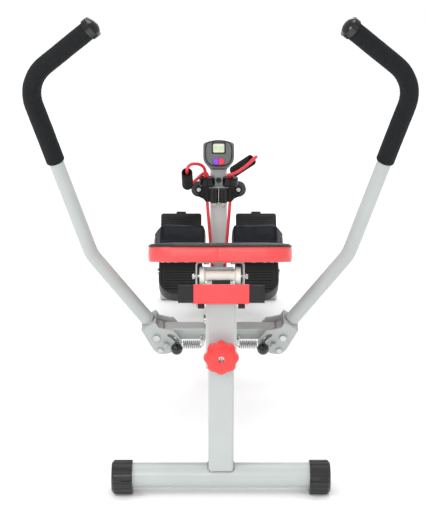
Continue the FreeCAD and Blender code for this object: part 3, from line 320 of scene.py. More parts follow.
LOOKS = {
    "silver_paint": silver_paint(),
    # The mast gets a lighter copy of the frame paint: painted light, standing in for the brighter light that falls
    # on it.
    "mast_painted_light": silver_paint("mast_painted_light", (0.60, 0.63, 0.62), 0.04, worn=False),
    "zinc_steel": zinc(),
    "spring_steel": zinc("spring_steel", (0.50, 0.50, 0.49), 0.26),
    "red_plastic": moulded("red_plastic", (0.88, 0.058, 0.062), 0.42, 0.0010, 0.00006, 0.0012,
                           (1.0, 0.16, 0.15), 0.1),
    "black_plastic": moulded("black_plastic", (0.011, 0.0115, 0.012), 0.42, 0.0011, 0.00012, specular=0.3),
    "gloss_black": moulded("gloss_black", (0.008, 0.008, 0.009), 0.12, 0.003, 0.00001, 0.0005,
                           (0.02, 0.02, 0.02), 0.6),
    "stopper_black": moulded("stopper_black", (0.005, 0.005, 0.006), 0.2, 0.002, 0.00002, 0.0006,
                             (0.03, 0.03, 0.03), 0.1, 0.25),
    "knob_red": moulded("knob_red", (0.80, 0.042, 0.040), 0.3, 0.0010, 0.00006, 0.0016,
                        (0.95, 0.12, 0.11), 0.3),
    "cap_black": moulded("cap_black", (0.022, 0.023, 0.022), 0.34, 0.0011, 0.00008, 0.0012, (0.1, 0.1, 0.1)),
    "foam": foam(),
    "black_rubber": moulded("black_rubber", (0.020, 0.020, 0.020), 0.6, 0.0012, 0.0001, 0.0018, specular=0.3),
    "red_rubber": elastic(),
    "piping": moulded("piping", (0.012, 0.012, 0.013), 0.3, 0.002, 0.00003, 0.0006, None, 0.3),
    "seat_black": vinyl("seat_black", (0.020, 0.021, 0.023), 0.42),
    "seat_red": vinyl("seat_red", (0.88, 0.072, 0.074), 0.36, 0.0013, 0.00010, 0.3),
    "cream_nylon": moulded("cream_nylon", (0.97, 0.97, 0.90), 0.38, 0.002, 0.00003, 0.0008,
                           (0.95, 0.94, 0.9)),
    "grey_plastic": moulded("grey_plastic", (0.135, 0.145, 0.150), 0.45, 0.0007, 0.00006, 0.0008),
    "trim_black": moulded("trim_black", (0.015, 0.016, 0.017), 0.38, 0.0008, 0.00004, 0.0004),
    "window": display(),
    "webbing": webbing(),
    "purple_plastic": moulded("purple_plastic", (0.26, 0.065, 0.72), 0.35, 0.001, 0.00003, 0.0006),
    "button_red": moulded("button_red", (0.84, 0.045, 0.09), 0.35, 0.001, 0.00003, 0.0006),
    "dust_cover": board(),
    "thread": vinyl("thread", (0.05, 0.05, 0.05), 0.6, 0.0005, 0.00005, 0),
    "weld": zinc("weld_paint", (0.50, 0.51, 0.52), 0.38),
    "cap_plastic": moulded("cap_plastic", (0.50, 0.51, 0.51), 0.45),
}
SLOT_LOOKS = {"black_vinyl": "seat_black", "wood_board": "dust_cover"}
NODE_LOOKS = {
    "damper_cylinder": "gloss_black", "arm_plug_left": "gloss_black", "arm_plug_right": "gloss_black",
    "band_stopper_left": "stopper_black", "band_stopper_right": "stopper_black",
    "band_guide": "stopper_black",
    "rear_cap_left": "cap_black", "rear_cap_right": "cap_black",
    # front_post wears the lighter copy of the frame paint, as painted light.
    "front_post": "mast_painted_light", "height_knob": "knob_red",
}


def dress(obj, look):
    obj.data.materials.clear()
    obj.data.materials.append(LOOKS[look])
    return obj


def dress_frame():
    slots = {row["node"]: row["material_slot"] for row in frame["record"]["subparts"]}
    for name, node in NODES.items():
        slot = slots[name]
        dress(node, NODE_LOOKS.get(name, SLOT_LOOKS.get(slot, slot)))


# ---------------------------------------------------------------- mesh helpers
def mesh_piece(name, points, faces, look, body, smooth=True):
    """A new piece from points in the row frame, riding on a body."""
    mesh = bpy.data.meshes.new(name)
    mesh.from_pydata([tuple(p) for p in points], [], faces)
    mesh.update()
    obj = bpy.data.objects.new(name, mesh)
    bpy.context.scene.collection.objects.link(obj)
    dress(obj, look)
    if smooth:
        mesh.polygons.foreach_set("use_smooth", [True] * len(mesh.polygons))
    if body:
        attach(obj, body)
    return obj


def grid_faces(rows, columns, closed_rows=False, closed_columns=True):
    """Quads between rows of points, each row with the given number of points."""
    faces = []
    for i in range(rows if closed_rows else rows - 1):
        for j in range(columns if closed_columns else columns - 1):
            a, b = i * columns + j, i * columns + (j + 1) % columns
            k = ((i + 1) % rows) * columns
            faces.append((a, b, k + (j + 1) % columns, k + j))
    return faces


def frames_along(path, up=(0, 0, 1)):
    """(point, side, up) at each point of a path, turning as little as possible from one to the next."""
    found = []
    normal = Vector(up)
    for i, point in enumerate(path):
        ahead = path[min(i + 1, len(path) - 1)] - path[max(i - 1, 0)]
        ahead.normalize()
        side = ahead.cross(normal)
        if side.length < 1e-6:
            side = ahead.orthogonal()
        side.normalize()
        normal = side.cross(ahead)
        found.append((point, side, normal.copy()))
    return found


def tube(name, path, radius, look, body, around=20, cap=True, up=(0, 0, 1)):
    """Round tube along a path. radius is a number or a function of (share of the length, angle)."""
    shape = radius if callable(radius) else (lambda share, angle: radius)
    path = [Vector(p) for p in path]
    gaps = [0.0]
    for a, b in zip(path, path[1:]):
        gaps.append(gaps[-1] + (b - a).length)
    points = []
    for (place, side, normal), run in zip(frames_along(path, up), gaps):
        for j in range(around):
            angle = 2 * math.pi * j / around
            r = shape(run / gaps[-1], angle)
            points.append(place + side * (r * math.cos(angle)) + normal * (r * math.sin(angle)))
    faces = grid_faces(len(path), around)
    if cap:
        faces.append(tuple(range(around))[::-1])
        faces.append(tuple(range((len(path) - 1) * around, len(path) * around)))
    return mesh_piece(name, points, faces, look, body)


def curve_points(points, cyclic=False, detail=12):
    """Points read from a smooth NURBS line with these control points."""
    curve = nurbs("reading", points, cyclic, detail)
    obj = bpy.data.objects.new("reading", curve)
    bpy.context.scene.collection.objects.link(obj)
    mesh = bpy.data.meshes.new_from_object(obj)
    found = [v.co.copy() for v in mesh.vertices]
    bpy.data.objects.remove(obj)
    bpy.data.meshes.remove(mesh)
    return found


def nurbs(name, points, cyclic=False, detail=12):
    curve = bpy.data.curves.new(name, "CURVE")
    curve.dimensions = "3D"
    spline = curve.splines.new("NURBS")
    spline.points.add(len(points) - 1)
    for target, point in zip(spline.points, points):
        target.co = (*point, 1)
    spline.use_cyclic_u = cyclic
    spline.use_endpoint_u = not cyclic
    spline.order_u = 3
    spline.resolution_u = detail
    return curve


def bent_path(points, radii, step=0.004):
    """Straight runs joined by tangent arcs, as points about step apart."""
    corners = [Vector(p) for p in points]
    found = [corners[0]]
    for before, here, after, radius in zip(corners, corners[1:], corners[2:], radii):
        back = (before - here).normalized()
        ahead = (after - here).normalized()
        half = back.angle(ahead) / 2
        reach = radius / math.tan(half)
        start, end = here + back * reach, here + ahead * reach
        centre = here + (back + ahead).normalized() * (radius / math.sin(half))
        found += line(found[-1], start, step)[1:]
        turn = math.pi - 2 * half
        count = max(3, round(radius * turn / step))
        a, b = start - centre, end - centre
        for i in range(1, count + 1):
            share = i / count
            weight = math.sin(turn)
            found.append(centre + a * (math.sin((1 - share) * turn) / weight)
                         + b * (math.sin(share * turn) / weight))
    return found + line(found[-1], corners[-1], step)[1:]


def line(start, end, step):
    count = max(1, round((end - start).length / step))
    return [start.lerp(end, i / count) for i in range(count + 1)]


# ---------------------------------------------------------------- seat
SEAT_HALF, SEAT_S0, SEAT_S1, SEAT_CORNER = 0.1585, 0.369, 0.639, 0.062
SEAT_SECTION = (            # inward from the outline, height above the rail, look
    (0.0300, 0.0450, "dust_cover"), (0.0295, 0.0414, "seat_red"), (0.0120, 0.0411, "seat_red"),
    (0.0040, 0.0413, "seat_red"), (0.0012, 0.0421, "seat_red"), (0.0001, 0.0438, "seat_red"),
    (-0.0004, 0.0480, "seat_red"), (-0.0009, 0.0550, "seat_red"), (-0.0009, 0.0630, "seat_red"),
    (-0.0004, 0.0700, "seat_red"), (0.0002, 0.0733, "seat_red"), (0.0014, 0.0746, "seat_red"),
    (0.0017, 0.0757, "seat_black"), (0.0010, 0.0770, "seat_black"), (0.0019, 0.0786, "seat_black"),
    (0.0046, 0.0801, "seat_black"), (0.0105, 0.0815, "seat_black"), (0.0230, 0.0826, "seat_black"),
    (0.0430, 0.0834, "seat_black"), (0.0640, 0.0838, "seat_black"),
)
SEAT_CENTRE = Vector((0, (SEAT_S0 + SEAT_S1) / 2, 0))


def seat_outline(count):
    """(place, outward direction, distance round) at even steps round the seat, in rail axes."""
    straight_x = 2 * (SEAT_HALF - SEAT_CORNER)
    straight_s = SEAT_S1 - SEAT_S0 - 2 * SEAT_CORNER
    quarter = math.pi / 2 * SEAT_CORNER
    around = 2 * (straight_x + straight_s + 2 * quarter)
    corner_x, corner_s = straight_x / 2, straight_s / 2
    runs = ((straight_x, 0), (quarter, 1), (straight_s, 0), (quarter, 1)) * 2
    corners = ((corner_x, -corner_s), (corner_x, corner_s), (-corner_x, corner_s), (-corner_x, -corner_s))
    found = []
    for i in range(count):
        run = around * i / count
        for k, (length, bend) in enumerate(runs):
            if run <= length:
                break
            run -= length
        heading = (k // 2) * math.pi / 2 + (run / SEAT_CORNER if bend else 0)
        out = Vector((math.sin(heading), -math.cos(heading), 0))
        ahead = Vector((math.cos(heading), math.sin(heading), 0))
        corner = Vector((*corners[k // 2], 0))
        place = SEAT_CENTRE + corner + out * SEAT_CORNER
        if not bend:
            place += ahead * (run - length)
        found.append((place, out, around * i / count))
    return found


def seat_cushion():
    """Upholstered pad: red side band, black crowned top, cover board under it."""
    outline = seat_outline(264)
    points, looks = [], []
    for inset, height, look in SEAT_SECTION:
        looks.append(look)
        for place, out, _ in outline:
            side_on = abs(out.x) if abs(out.x) > abs(out.y) else abs(out.y)
            here = place - out * inset
            slack = max(0.0, side_on - 0.75) * 4
            if look == "seat_red" and inset < 0.003:
                middle = min(abs(here.x) / SEAT_HALF, 1) if abs(out.y) > abs(out.x) else \
                    min(abs(here.y - SEAT_CENTRE.y) / 0.135, 1)
                here -= out * (0.0016 * slack * (1 - middle * middle))
                ripple = noise.noise(Vector((here.x * 24, here.y * 24, height * 60)))
                here += out * (0.0009 * ripple)
                if out.y < -0.9:
                    seam = math.exp(-((here.x + 0.003) / 0.0022) ** 2)
                    pucker = math.exp(-((here.x + 0.003) / 0.014) ** 2)
                    here -= out * (0.0011 * seam - 0.0004 * pucker * math.sin(height * 900))
            lift = 0.0
            if look == "seat_black" and inset > 0.006:
                lift = 0.0011 * noise.noise(Vector((here.x * 14, here.y * 14, 3.1)))
            points.append(RAIL @ Vector((here.x, here.y, height + lift)))
    columns, rows = len(outline), len(SEAT_SECTION)
    faces = grid_faces(rows, columns)
    points += [RAIL @ (SEAT_CENTRE + Vector((0, 0, 0.0450))), RAIL @ (SEAT_CENTRE + Vector((0, 0, 0.0841)))]
    bottom, top = len(points) - 2, len(points) - 1
    last = (rows - 1) * columns
    for j in range(columns):
        faces.append((bottom, (j + 1) % columns, j))
        faces.append((top, last + j, last + (j + 1) % columns))
    pad = mesh_piece("seat_pad", points, faces, "seat_red", "seat")
    for look in ("seat_black", "dust_cover"):
        pad.data.materials.append(LOOKS[look])
    order = {"seat_red": 0, "seat_black": 1, "dust_cover": 2}
    for k, polygon in enumerate(pad.data.polygons):
        if k < last:
            row = k // columns
        else:
            row = 0 if (k - last) % 2 == 0 else rows - 2
        polygon.material_index = order[looks[row + 1] if row else "dust_cover"]
    smooth = pad.modifiers.new("smooth", "SUBSURF")
    smooth.levels = 1
    smooth.render_levels = 1
    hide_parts("seat_cushion")


def seat_trim():
    """Welt between the red band and the black top, its stitches, and the staples under the rim."""
    outline = seat_outline(200)
    welt = [RAIL @ (place - out * 0.0004 + Vector((0, 0, 0.0757))) for place, out, _ in outline]
    points = []
    for j, place in enumerate(welt):
        ahead = (welt[(j + 1) % len(welt)] - welt[j - 1]).normalized()
        up = RAIL.to_3x3() @ Vector((0, 0, 1))
        side = ahead.cross(up)
        for k in range(8):
            angle = math.pi / 4 * k
            points.append(place + (side * math.cos(angle) + up * math.sin(angle)) * 0.0014)
    mesh_piece("seat_welt", points, grid_faces(len(welt), 8, closed_rows=True), "piping",
               "seat")
    stitches = seat_outline(214)
    points, faces = [], []
    for place, out, _ in stitches:
        ahead = Vector((-out.y, out.x, 0))
        centre = place - out * 0.0075 + Vector((0, 0, 0.0810))
        add_stitch(points, faces, RAIL, centre, ahead, Vector((0, 0, 1)), 0.0030, 0.0005)
    mesh_piece("seat_stitches", points, faces, "thread", "seat")
    points, faces = [], []
    for place, out, _ in seat_outline(44):
        ahead = Vector((-out.y, out.x, 0))
        centre = place - out * 0.020 + Vector((0, 0, 0.0410))
        add_stitch(points, faces, RAIL, centre, ahead, Vector((0, 0, -1)), 0.0100, 0.0006)
    mesh_piece("seat_staples", points, faces, "zinc_steel", "seat")


def add_stitch(points, faces, axes, centre, ahead, up, length, radius):
    """A short bowed thread, round in section and pointed at both ends, added to a mesh being made."""
    side = ahead.cross(up)
    first = len(points)
    spans = 5
    for i in range(spans):
        share = i / (spans - 1)
        bow = math.sin(share * math.pi)
        thick = radius * (0.35 + 0.65 * bow)
        place = centre + ahead * (length * (share - 0.5)) + up * (radius * 0.9 * bow - radius * 0.4)
        for j in range(6):
            angle = math.pi / 3 * j
            points.append(axes @ (place + side * (thick * math.cos(angle)) + up * (thick * math.sin(angle))))
    for i in range(spans - 1):
        for j in range(6):
            a, b = first + i * 6 + j, first + i * 6 + (j + 1) % 6
            faces.append((a, b, b + 6, a + 6))
    faces.append(tuple(range(first + 5, first - 1, -1)))
    faces.append(tuple(range(first + (spans - 1) * 6, first + spans * 6)))


# ---------------------------------------------------------------- foam grips on the arms
ARM_PATH = ((0.159, 0.025), (0.283, 0.2045), (0.4047, 0.626), (0.262, 0.747))
ARM_BEND, GRIP_START, GRIP_R, ARM_R, PLUG_BACK = 0.090, 0.196, 0.020, 0.016, 0.0088


def rounded_ends(path, reach=0.0045):
    """The path with extra points near both ends, for a rounded rim."""
    first = (path[1] - path[0]).normalized()
    last = (path[-2] - path[-1]).normalized()
    inner = [p for p in path if (p - path[0]).length > reach and (p - path[-1]).length > reach]
    steps = (0, 0.0003, 0.0010, 0.0022, 0.0038)
    return [path[0] + first * s for s in steps] + inner + [path[-1] + last * s for s in steps[::-1]]


def rim(share, length, radius):
    """How far the surface is drawn in near the ends of a foam sleeve."""
    gap = min(share, 1 - share) * length
    if gap >= radius:
        return 0.0
    return radius - math.sqrt(max(0.0, radius ** 2 - (radius - gap) ** 2))


def arm_grip(name, side):
    corners = [SWING @ Vector((side * x, 0, t)) for x, t in ARM_PATH]
    up = (corners[2] - corners[1]).normalized()
    start = corners[2] - up * GRIP_START
    end = corners[3] - (corners[3] - corners[2]).normalized() * PLUG_BACK
    path = rounded_ends(bent_path([start, corners[2], end], [ARM_BEND], 0.0035))
    length = sum((b - a).length for a, b in zip(path, path[1:]))
    bend_from = (GRIP_START - 0.075) / length
    bend_to = (GRIP_START + 0.045) / length
    inner = 0.0 if side > 0 else math.pi

    def shape(share, angle):
        run = share * length
        in_bend = max(0.0, 1 - abs(share - (bend_from + bend_to) / 2) * 2 / (bend_to - bend_from))
        facing = max(0.0, math.cos(angle - inner))
        waver = 1.5 * noise.noise(Vector((angle, run * 60, side)))
        fold = 0.5 + 0.5 * math.cos(2 * math.pi * run / 0.0105 + waver)
        lumps = noise.noise(Vector((math.cos(angle) * 2, math.sin(angle) * 2, run * 42 + side * 7)))
        fine = noise.noise(Vector((math.cos(angle) * 9, math.sin(angle) * 9, run * 330)))
        radius = GRIP_R + 0.00035 * lumps + 0.00022 * fine
        radius -= 0.0010 * in_bend * facing ** 2 * fold
        return radius - rim(share, length, 0.0036)

    grip = tube("foam_grip_" + name, path, shape, "foam", "arm_" + name, around=48,
                up=SWING.to_3x3() @ Vector((0, 1, 0)))
    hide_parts("arm_grip_" + name)


# ---------------------------------------------------------------- arm springs
SPRING_W, SPRING_T, SPRING_R, WIRE_R = -0.031, -0.017, 0.0088, 0.00115
SPRING_X0, SPRING_X1, SPRING_TURNS = 0.045, 0.084, 9
STUD_X, ANCHOR_X, ANCHOR_T = 0.121, 0.040, -0.006


def arm_spring(name, side):
    """Close-wound tension spring whose hooks go round the crossbar's bolt and the arm's stud."""
    inner = [(ANCHOR_X + 0.004, ANCHOR_T + 0.0048), (ANCHOR_X - 0.0052, ANCHOR_T + 0.0048),
             (ANCHOR_X - 0.0052, ANCHOR_T - 0.002), (SPRING_X0 - 0.006, SPRING_T - 0.002),
             (SPRING_X0, SPRING_T - SPRING_R)]
    outer = [(SPRING_X1, SPRING_T - SPRING_R), (SPRING_X1 + 0.005, SPRING_T - 0.004),
             (STUD_X + 0.0052, SPRING_T - 0.0048), (STUD_X + 0.0052, SPRING_T + 0.0048),
             (STUD_X - 0.004, SPRING_T + 0.0048)]
    hooks = [bent_path([Vector((x, SPRING_W, t)) for x, t in hook], radii, 0.0012)
             for hook, radii in ((inner, (0.003, 0.0025, 0.003)), (outer, (0.003, 0.0025, 0.003)))]
    coil = []
    steps = 30 * SPRING_TURNS
    for i in range(1, steps):
        angle = 2 * math.pi * SPRING_TURNS * i / steps
        coil.append(Vector((SPRING_X0 + (SPRING_X1 - SPRING_X0) * i / steps,
                            SPRING_W + SPRING_R * math.sin(angle), SPRING_T - SPRING_R * math.cos(angle))))
    path = [SWING @ Vector((side * p.x, p.y, p.z)) for p in hooks[0] + coil + hooks[1]]
    spring = tube("spring_" + name, path, WIRE_R, "spring_steel", None, around=10)
    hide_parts("arm_spring_" + name)
    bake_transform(spring)


# ---------------------------------------------------------------- straps over the foot plates
PEDAL_X0, PEDAL_X1, PEDAL_N = 0.043, 0.157, 0.060
STRAP_U0, STRAP_U1, STRAP_THICK = 0.018, 0.078, 0.0026


def strap_line(grow):
    """The strap's run over the foot, from the inner edge of the plate to the outer one, as (x, n)."""
    x0, x1, n = PEDAL_X0, PEDAL_X1, PEDAL_N
    return [Vector((x, 0, z)) for x, z in (
        (x0 - 0.0045 - grow, n - 0.005), (x0 - 0.0062 - grow, n + 0.008), (x0 - 0.0080 - grow, n + 0.022),
        (x0 - 0.0050 - grow, n + 0.042), (x0 - 0.0022 - grow, n + 0.0515 + grow),
        (x0 + 0.0120, n + 0.0520 + grow), ((x0 + x1) / 2, n + 0.0540 + grow),
        (x1 - 0.0260, n + 0.0562 + grow), (x1 - 0.0095 + grow, n + 0.0562 + grow),
        (x1 - 0.0010 + grow, n + 0.040), (x1 + 0.0105 + grow, n + 0.016),
        (x1 + 0.0072 + grow, n + 0.004), (x1 + 0.0045 + grow, n - 0.005))]


def strip(name, line_points, u0, u1, thick, look, side, body):
    """Flat band swept along a line in the pedal's x-n plane, with rounded edges and a little cupping."""
    points, columns = [], 0
    for i, place in enumerate(line_points):
        ahead = (line_points[min(i + 1, len(line_points) - 1)] - line_points[max(i - 1, 0)]).normalized()
        out = Vector((-ahead.z, 0, ahead.x))
        across = []
        steps = 14
        for k in range(steps + 1):
            share = k / steps
            edge = min(share, 1 - share) * (u1 - u0)
            half = thick / 2 * min(1.0, math.sqrt(max(0.04, edge / (thick * 0.8))))
            across.append((share, half))
        ring = [(share, half) for share, half in across] + [(share, -half) for share, half in across[::-1]]
        columns = len(ring)
        for share, height in ring:
            cup = 0.0016 * (2 * share - 1) ** 2
            wave = 0.0007 * noise.noise(Vector((i * 0.22, share * 3, side * 5)))
            spot = place + out * (height - cup + wave) + Vector((0, u0 + (u1 - u0) * share, 0))
            points.append(PEDAL @ Vector((side * spot.x, spot.y, spot.z)))
    faces = grid_faces(len(line_points), columns)
    faces.append(tuple(range(columns))[::-1])
    faces.append(tuple(range((len(line_points) - 1) * columns, len(line_points) * columns)))
    return mesh_piece(name, points, faces, look, body)


def foot_strap(name, side):
    body = "pedal_" + name
    run = curve_points(strap_line(0), detail=10)
    band = strip("strap_" + name, run, STRAP_U0, STRAP_U1, STRAP_THICK, "webbing", side, body)
    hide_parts("pedal_strap_" + name)
    over = curve_points(strap_line(0.0027), detail=10)
    over = over[len(over) // 3:]
    strip("strap_flap_" + name, over, STRAP_U0 + 0.004, STRAP_U1 - 0.004, STRAP_THICK * 0.8, "webbing",
          side, body)
    points, faces = [], []
    for u in (STRAP_U0 + 0.0085, STRAP_U1 - 0.0085):
        for i in range(4, len(over) - 4, 2):
            ahead = (over[i + 1] - over[i - 1]).normalized()
            out = Vector((-ahead.z, 0, ahead.x))
            centre = over[i] + out * 0.0004 + Vector((0, u, 0))
            mirror = Matrix.Diagonal((side, 1, 1, 1))
            add_stitch(points, faces, PEDAL @ mirror, centre, ahead, out, 0.0036, 0.0005)
    mesh_piece("strap_stitches_" + name, points, faces, "thread", body)


# ---------------------------------------------------------------- elastic pull bands
BAND_R = 0.0042
LOOPS = {
    "left": ((-35, 1181, 362), (-35, 1177, 384), (-38, 1168, 399), (-48, 1152, 411), (-62, 1131, 418),
             (-75, 1112, 420), (-82, 1103, 412), (-83, 1109, 401), (-82, 1168, 349), (-81, 1183, 343),
             (-70, 1196, 350), (-52, 1199, 366), (-38, 1194, 380), (-29, 1187, 378), (-28, 1185, 362)),
    "right": ((27, 1181, 362), (26, 1170, 377), (25, 1149, 384), (31, 1123, 390), (46, 1101, 401),
              (62, 1087, 415), (76, 1077, 429), (88, 1075, 441), (97, 1085, 447), (96, 1099, 442),
              (85, 1107.5, 433), (40, 1144, 393.8), (37, 1165, 389), (35, 1183, 378), (35, 1184, 362)),
}
HANDLES = {
    "left": ((-83, 1109, 401), (-82, 1168, 349)),
    "right": ((85, 1107.5, 433), (40, 1144, 393.8)),
}
GUIDE_TOP, STOPPER_TOP, BAND_Y, KNOT_R = 341.0, 365, 1184, 5.2
TAUT_RUN = ((16, 112), (17.5, 130), (29.5, 290), (31, 306), (31, GUIDE_TOP + 1))     # (x, z), hook to guide
HANDLE_R, HANDLE_BORE, HANDLE_L = 0.0145, 0.0105, 0.074


def build_place(point):
    """From millimetres measured from the rear post's axis to the row's frame."""
    return Vector((point[0], point[1] + POST_Y * 1000, point[2])) / 1000


def pull_band(name, side):
    body = "band_" + name
    route = [build_place(p) for p in LOOPS[name]]
    curve = nurbs("band_loop_" + name, route, detail=16)
    curve.bevel_depth = BAND_R
    curve.bevel_resolution = 5
    curve.use_fill_caps = True
    loop = bpy.data.objects.new("band_loop_" + name, curve)
    bpy.context.scene.collection.objects.link(loop)
    curve.materials.append(LOOKS["red_rubber"])
    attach(loop, body)
    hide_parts("band_" + name)
    read = curve_points(route, detail=16)
    grip = band_grip(name, side, body)
    taut = [(side * x, BAND_Y, z) for x, z in TAUT_RUN]
    path = curve_points([build_place(p) for p in taut], detail=14)
    tube("band_strand_" + name, path, BAND_R, "red_rubber", "frame", around=20, up=(0, 1, 0))
    free = [build_place((side * TAUT_RUN[-1][0], BAND_Y, z)) for z in np.linspace(GUIDE_TOP, STOPPER_TOP, 25)]
    stretch = tube("band_stretch_" + name, free, BAND_R, "red_rubber", None, around=20,
                   up=(0, 1, 0))
    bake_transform(stretch)
    hook_x, hook_z = TAUT_RUN[0]
    knot = [build_place((side * hook_x + KNOT_R * math.cos(a), BAND_Y + KNOT_R * math.sin(a) * 0.4,
                         hook_z + 3 * math.sin(a))) for a in np.linspace(0, 5.6, 22)]
    tube("band_knot_" + name, knot, BAND_R * 0.75, "red_rubber", "frame", around=14)


def band_grip(name, side, body):
    """Foam sleeve with open ends and a slightly lumpy surface."""
    start, end = (build_place(p) for p in HANDLES[name])
    middle, axis = (start + end) / 2, (end - start).normalized()
    outer = line(middle - axis * HANDLE_L / 2, middle + axis * HANDLE_L / 2, 0.003)
    outer = rounded_ends(outer)
    shapes, points = [], []
    around = 36
    for place in outer:
        run = (place - outer[0]).length
        shapes.append((place, HANDLE_R - rim(run / HANDLE_L, HANDLE_L, 0.0028)))
    inner = [(p, HANDLE_BORE + rim((p - outer[0]).length / HANDLE_L, HANDLE_L, 0.0016)) for p in outer[::-1]]
    side_way = axis.orthogonal().normalized()
    other = axis.cross(side_way)
    for place, radius in shapes + inner:
        run = (place - outer[0]).length
        for j in range(around):
            angle = 2 * math.pi * j / around
            lump = 0.00030 * noise.noise(Vector((math.cos(angle) * 2, math.sin(angle) * 2, run * 50 + side)))
            r = radius + lump
            points.append(place + side_way * (r * math.cos(angle)) + other * (r * math.sin(angle)))
    rows = len(shapes) + len(inner)
    grip = mesh_piece("band_grip_" + name, points, grid_faces(rows, around, closed_rows=True), "foam",
                      body)
    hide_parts("band_handle_" + name)
    return grip


# ---------------------------------------------------------------- weld beads
def weld(name, path, body, radius=0.0022, closed=True):
    """Rippled bead along a line, half sunk in the corner that it fills."""
    path = [Vector(p) for p in path]
    run = 0.0
    points = []
    around = 8
    for i, place in enumerate(path):
        behind = path[i - 1] if closed or i else path[i]
        ahead = path[(i + 1) % len(path)] if closed or i < len(path) - 1 else path[i]
        along = (ahead - behind).normalized()
        run += (place - path[i - 1]).length if i else 0.0
        side = along.orthogonal().normalized()
        up = along.cross(side)
        r = radius * (1 + 0.13 * math.sin(run * 2 * math.pi / 0.0034) + 0.10 * noise.noise(place * 160))
        for j in range(around):
            angle = 2 * math.pi * j / around
            points.append(place + (side * math.cos(angle) + up * math.sin(angle)) * r)
    faces = grid_faces(len(path), around, closed_rows=closed)
    if not closed:
        faces.append(tuple(range(around))[::-1])
        faces.append(tuple(range((len(path) - 1) * around, len(path) * around)))
    return mesh_piece(name, points, faces, "weld", body)


def rounded_rectangle(half_x, half_y, radius, count=88):
    """Points round a rectangle with rounded corners, evenly enough for a bead."""
    found = []
    for i in range(count):
        angle = 2 * math.pi * (i + 0.5) / count
        c, s = math.cos(angle), math.sin(angle)
        reach = 1 / max(abs(c) / half_x, abs(s) / half_y)
        x, y = c * reach, s * reach
        over_x, over_y = abs(x) - (half_x - radius), abs(y) - (half_y - radius)
        if over_x > 0 and over_y > 0:
            size = math.hypot(over_x, over_y)
            x = math.copysign(half_x - radius + radius * over_x / size, x)
            y = math.copysign(half_y - radius + radius * over_y / size, y)
        found.append((x, y))
    return found


def weld_beads():
    tube_low, tube_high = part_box("rear_stabilizer")
    tube_r, tube_z = (tube_high.z - tube_low.z) / 2, (tube_high.z + tube_low.z) / 2
    saddle = [(x, POST_Y + y, tube_z + math.sqrt(tube_r ** 2 - y ** 2) + 0.0006)
              for x, y in rounded_rectangle(0.0254, 0.0204, 0.006)]
    weld("weld_rear_post", saddle, "rear_base", 0.0017)
    under = []
    for x, y in rounded_rectangle(0.0304, 0.0254, 0.007):
        place = RAIL.inverted() @ Vector((0, POST_Y + y, 0.40))
        drop = RAIL @ Vector((x, place.y, -0.0355))
        under.append((x, POST_Y + y, drop.z))
    weld("weld_sleeve", under, "frame")
    mast_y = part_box("front_post")[1].y - 0.0225
    foot = []
    for x, y in rounded_rectangle(0.0229, 0.0229, 0.005):
        slope = math.tan(SLOPE)
        top = RAIL @ Vector((0, 0, 0.0006))
        foot.append((x, mast_y + y, top.z - (mast_y + y - top.y) * slope))
    weld("weld_mast", foot, "frame")
    for name, side in SIDES:
        base, knee = (Vector((side * x, 0, t)) for x, t in ARM_PATH[:2])
        along = (knee - base).normalized()
        centre = base + along * 0.0046
        across = Vector((along.z, 0, -along.x))
        ring = [SWING @ (centre + across * (ARM_R * math.cos(a)) + Vector((0, ARM_R * math.sin(a), 0)))
                for a in np.linspace(0, 2 * math.pi, 72, endpoint=False)]
        weld("weld_arm_" + name, ring, "arm_" + name, 0.0024)
        for k, x in enumerate((0.0205, 0.0265)):
            lug = [SWING @ Vector((side * x, w, 0.0154)) for w in np.linspace(-0.0145, 0.0145, 24)]
            weld(f"weld_lug_{name}_{k}", lug, "swing", 0.0017, closed=False)
        face = [SWING @ Vector((side * 0.1262, w, t)) for w, t in
                [(-0.0152 + 0.0304 * min(1, s / 20), 0.0154) for s in range(21)]]
        weld("weld_bush_" + name, face, "swing", 0.0018, closed=False)
    neck = []
    hanger = centre_of("swing_hanger")
    for x, y in rounded_rectangle(0.0153, 0.0233, 0.005, 64):
        low = RAIL @ Vector((0, 0, -0.0356))
        neck.append((x, hanger.y + y, low.z - (hanger.y + y - low.y) * math.tan(SLOPE)))
    weld("weld_hanger", neck, "frame")


# ---------------------------------------------------------------- small trim
CONSOLE_TILT = math.radians(25)
CONSOLE = tilted(-CONSOLE_TILT, build_place((0, 1206, 428)))


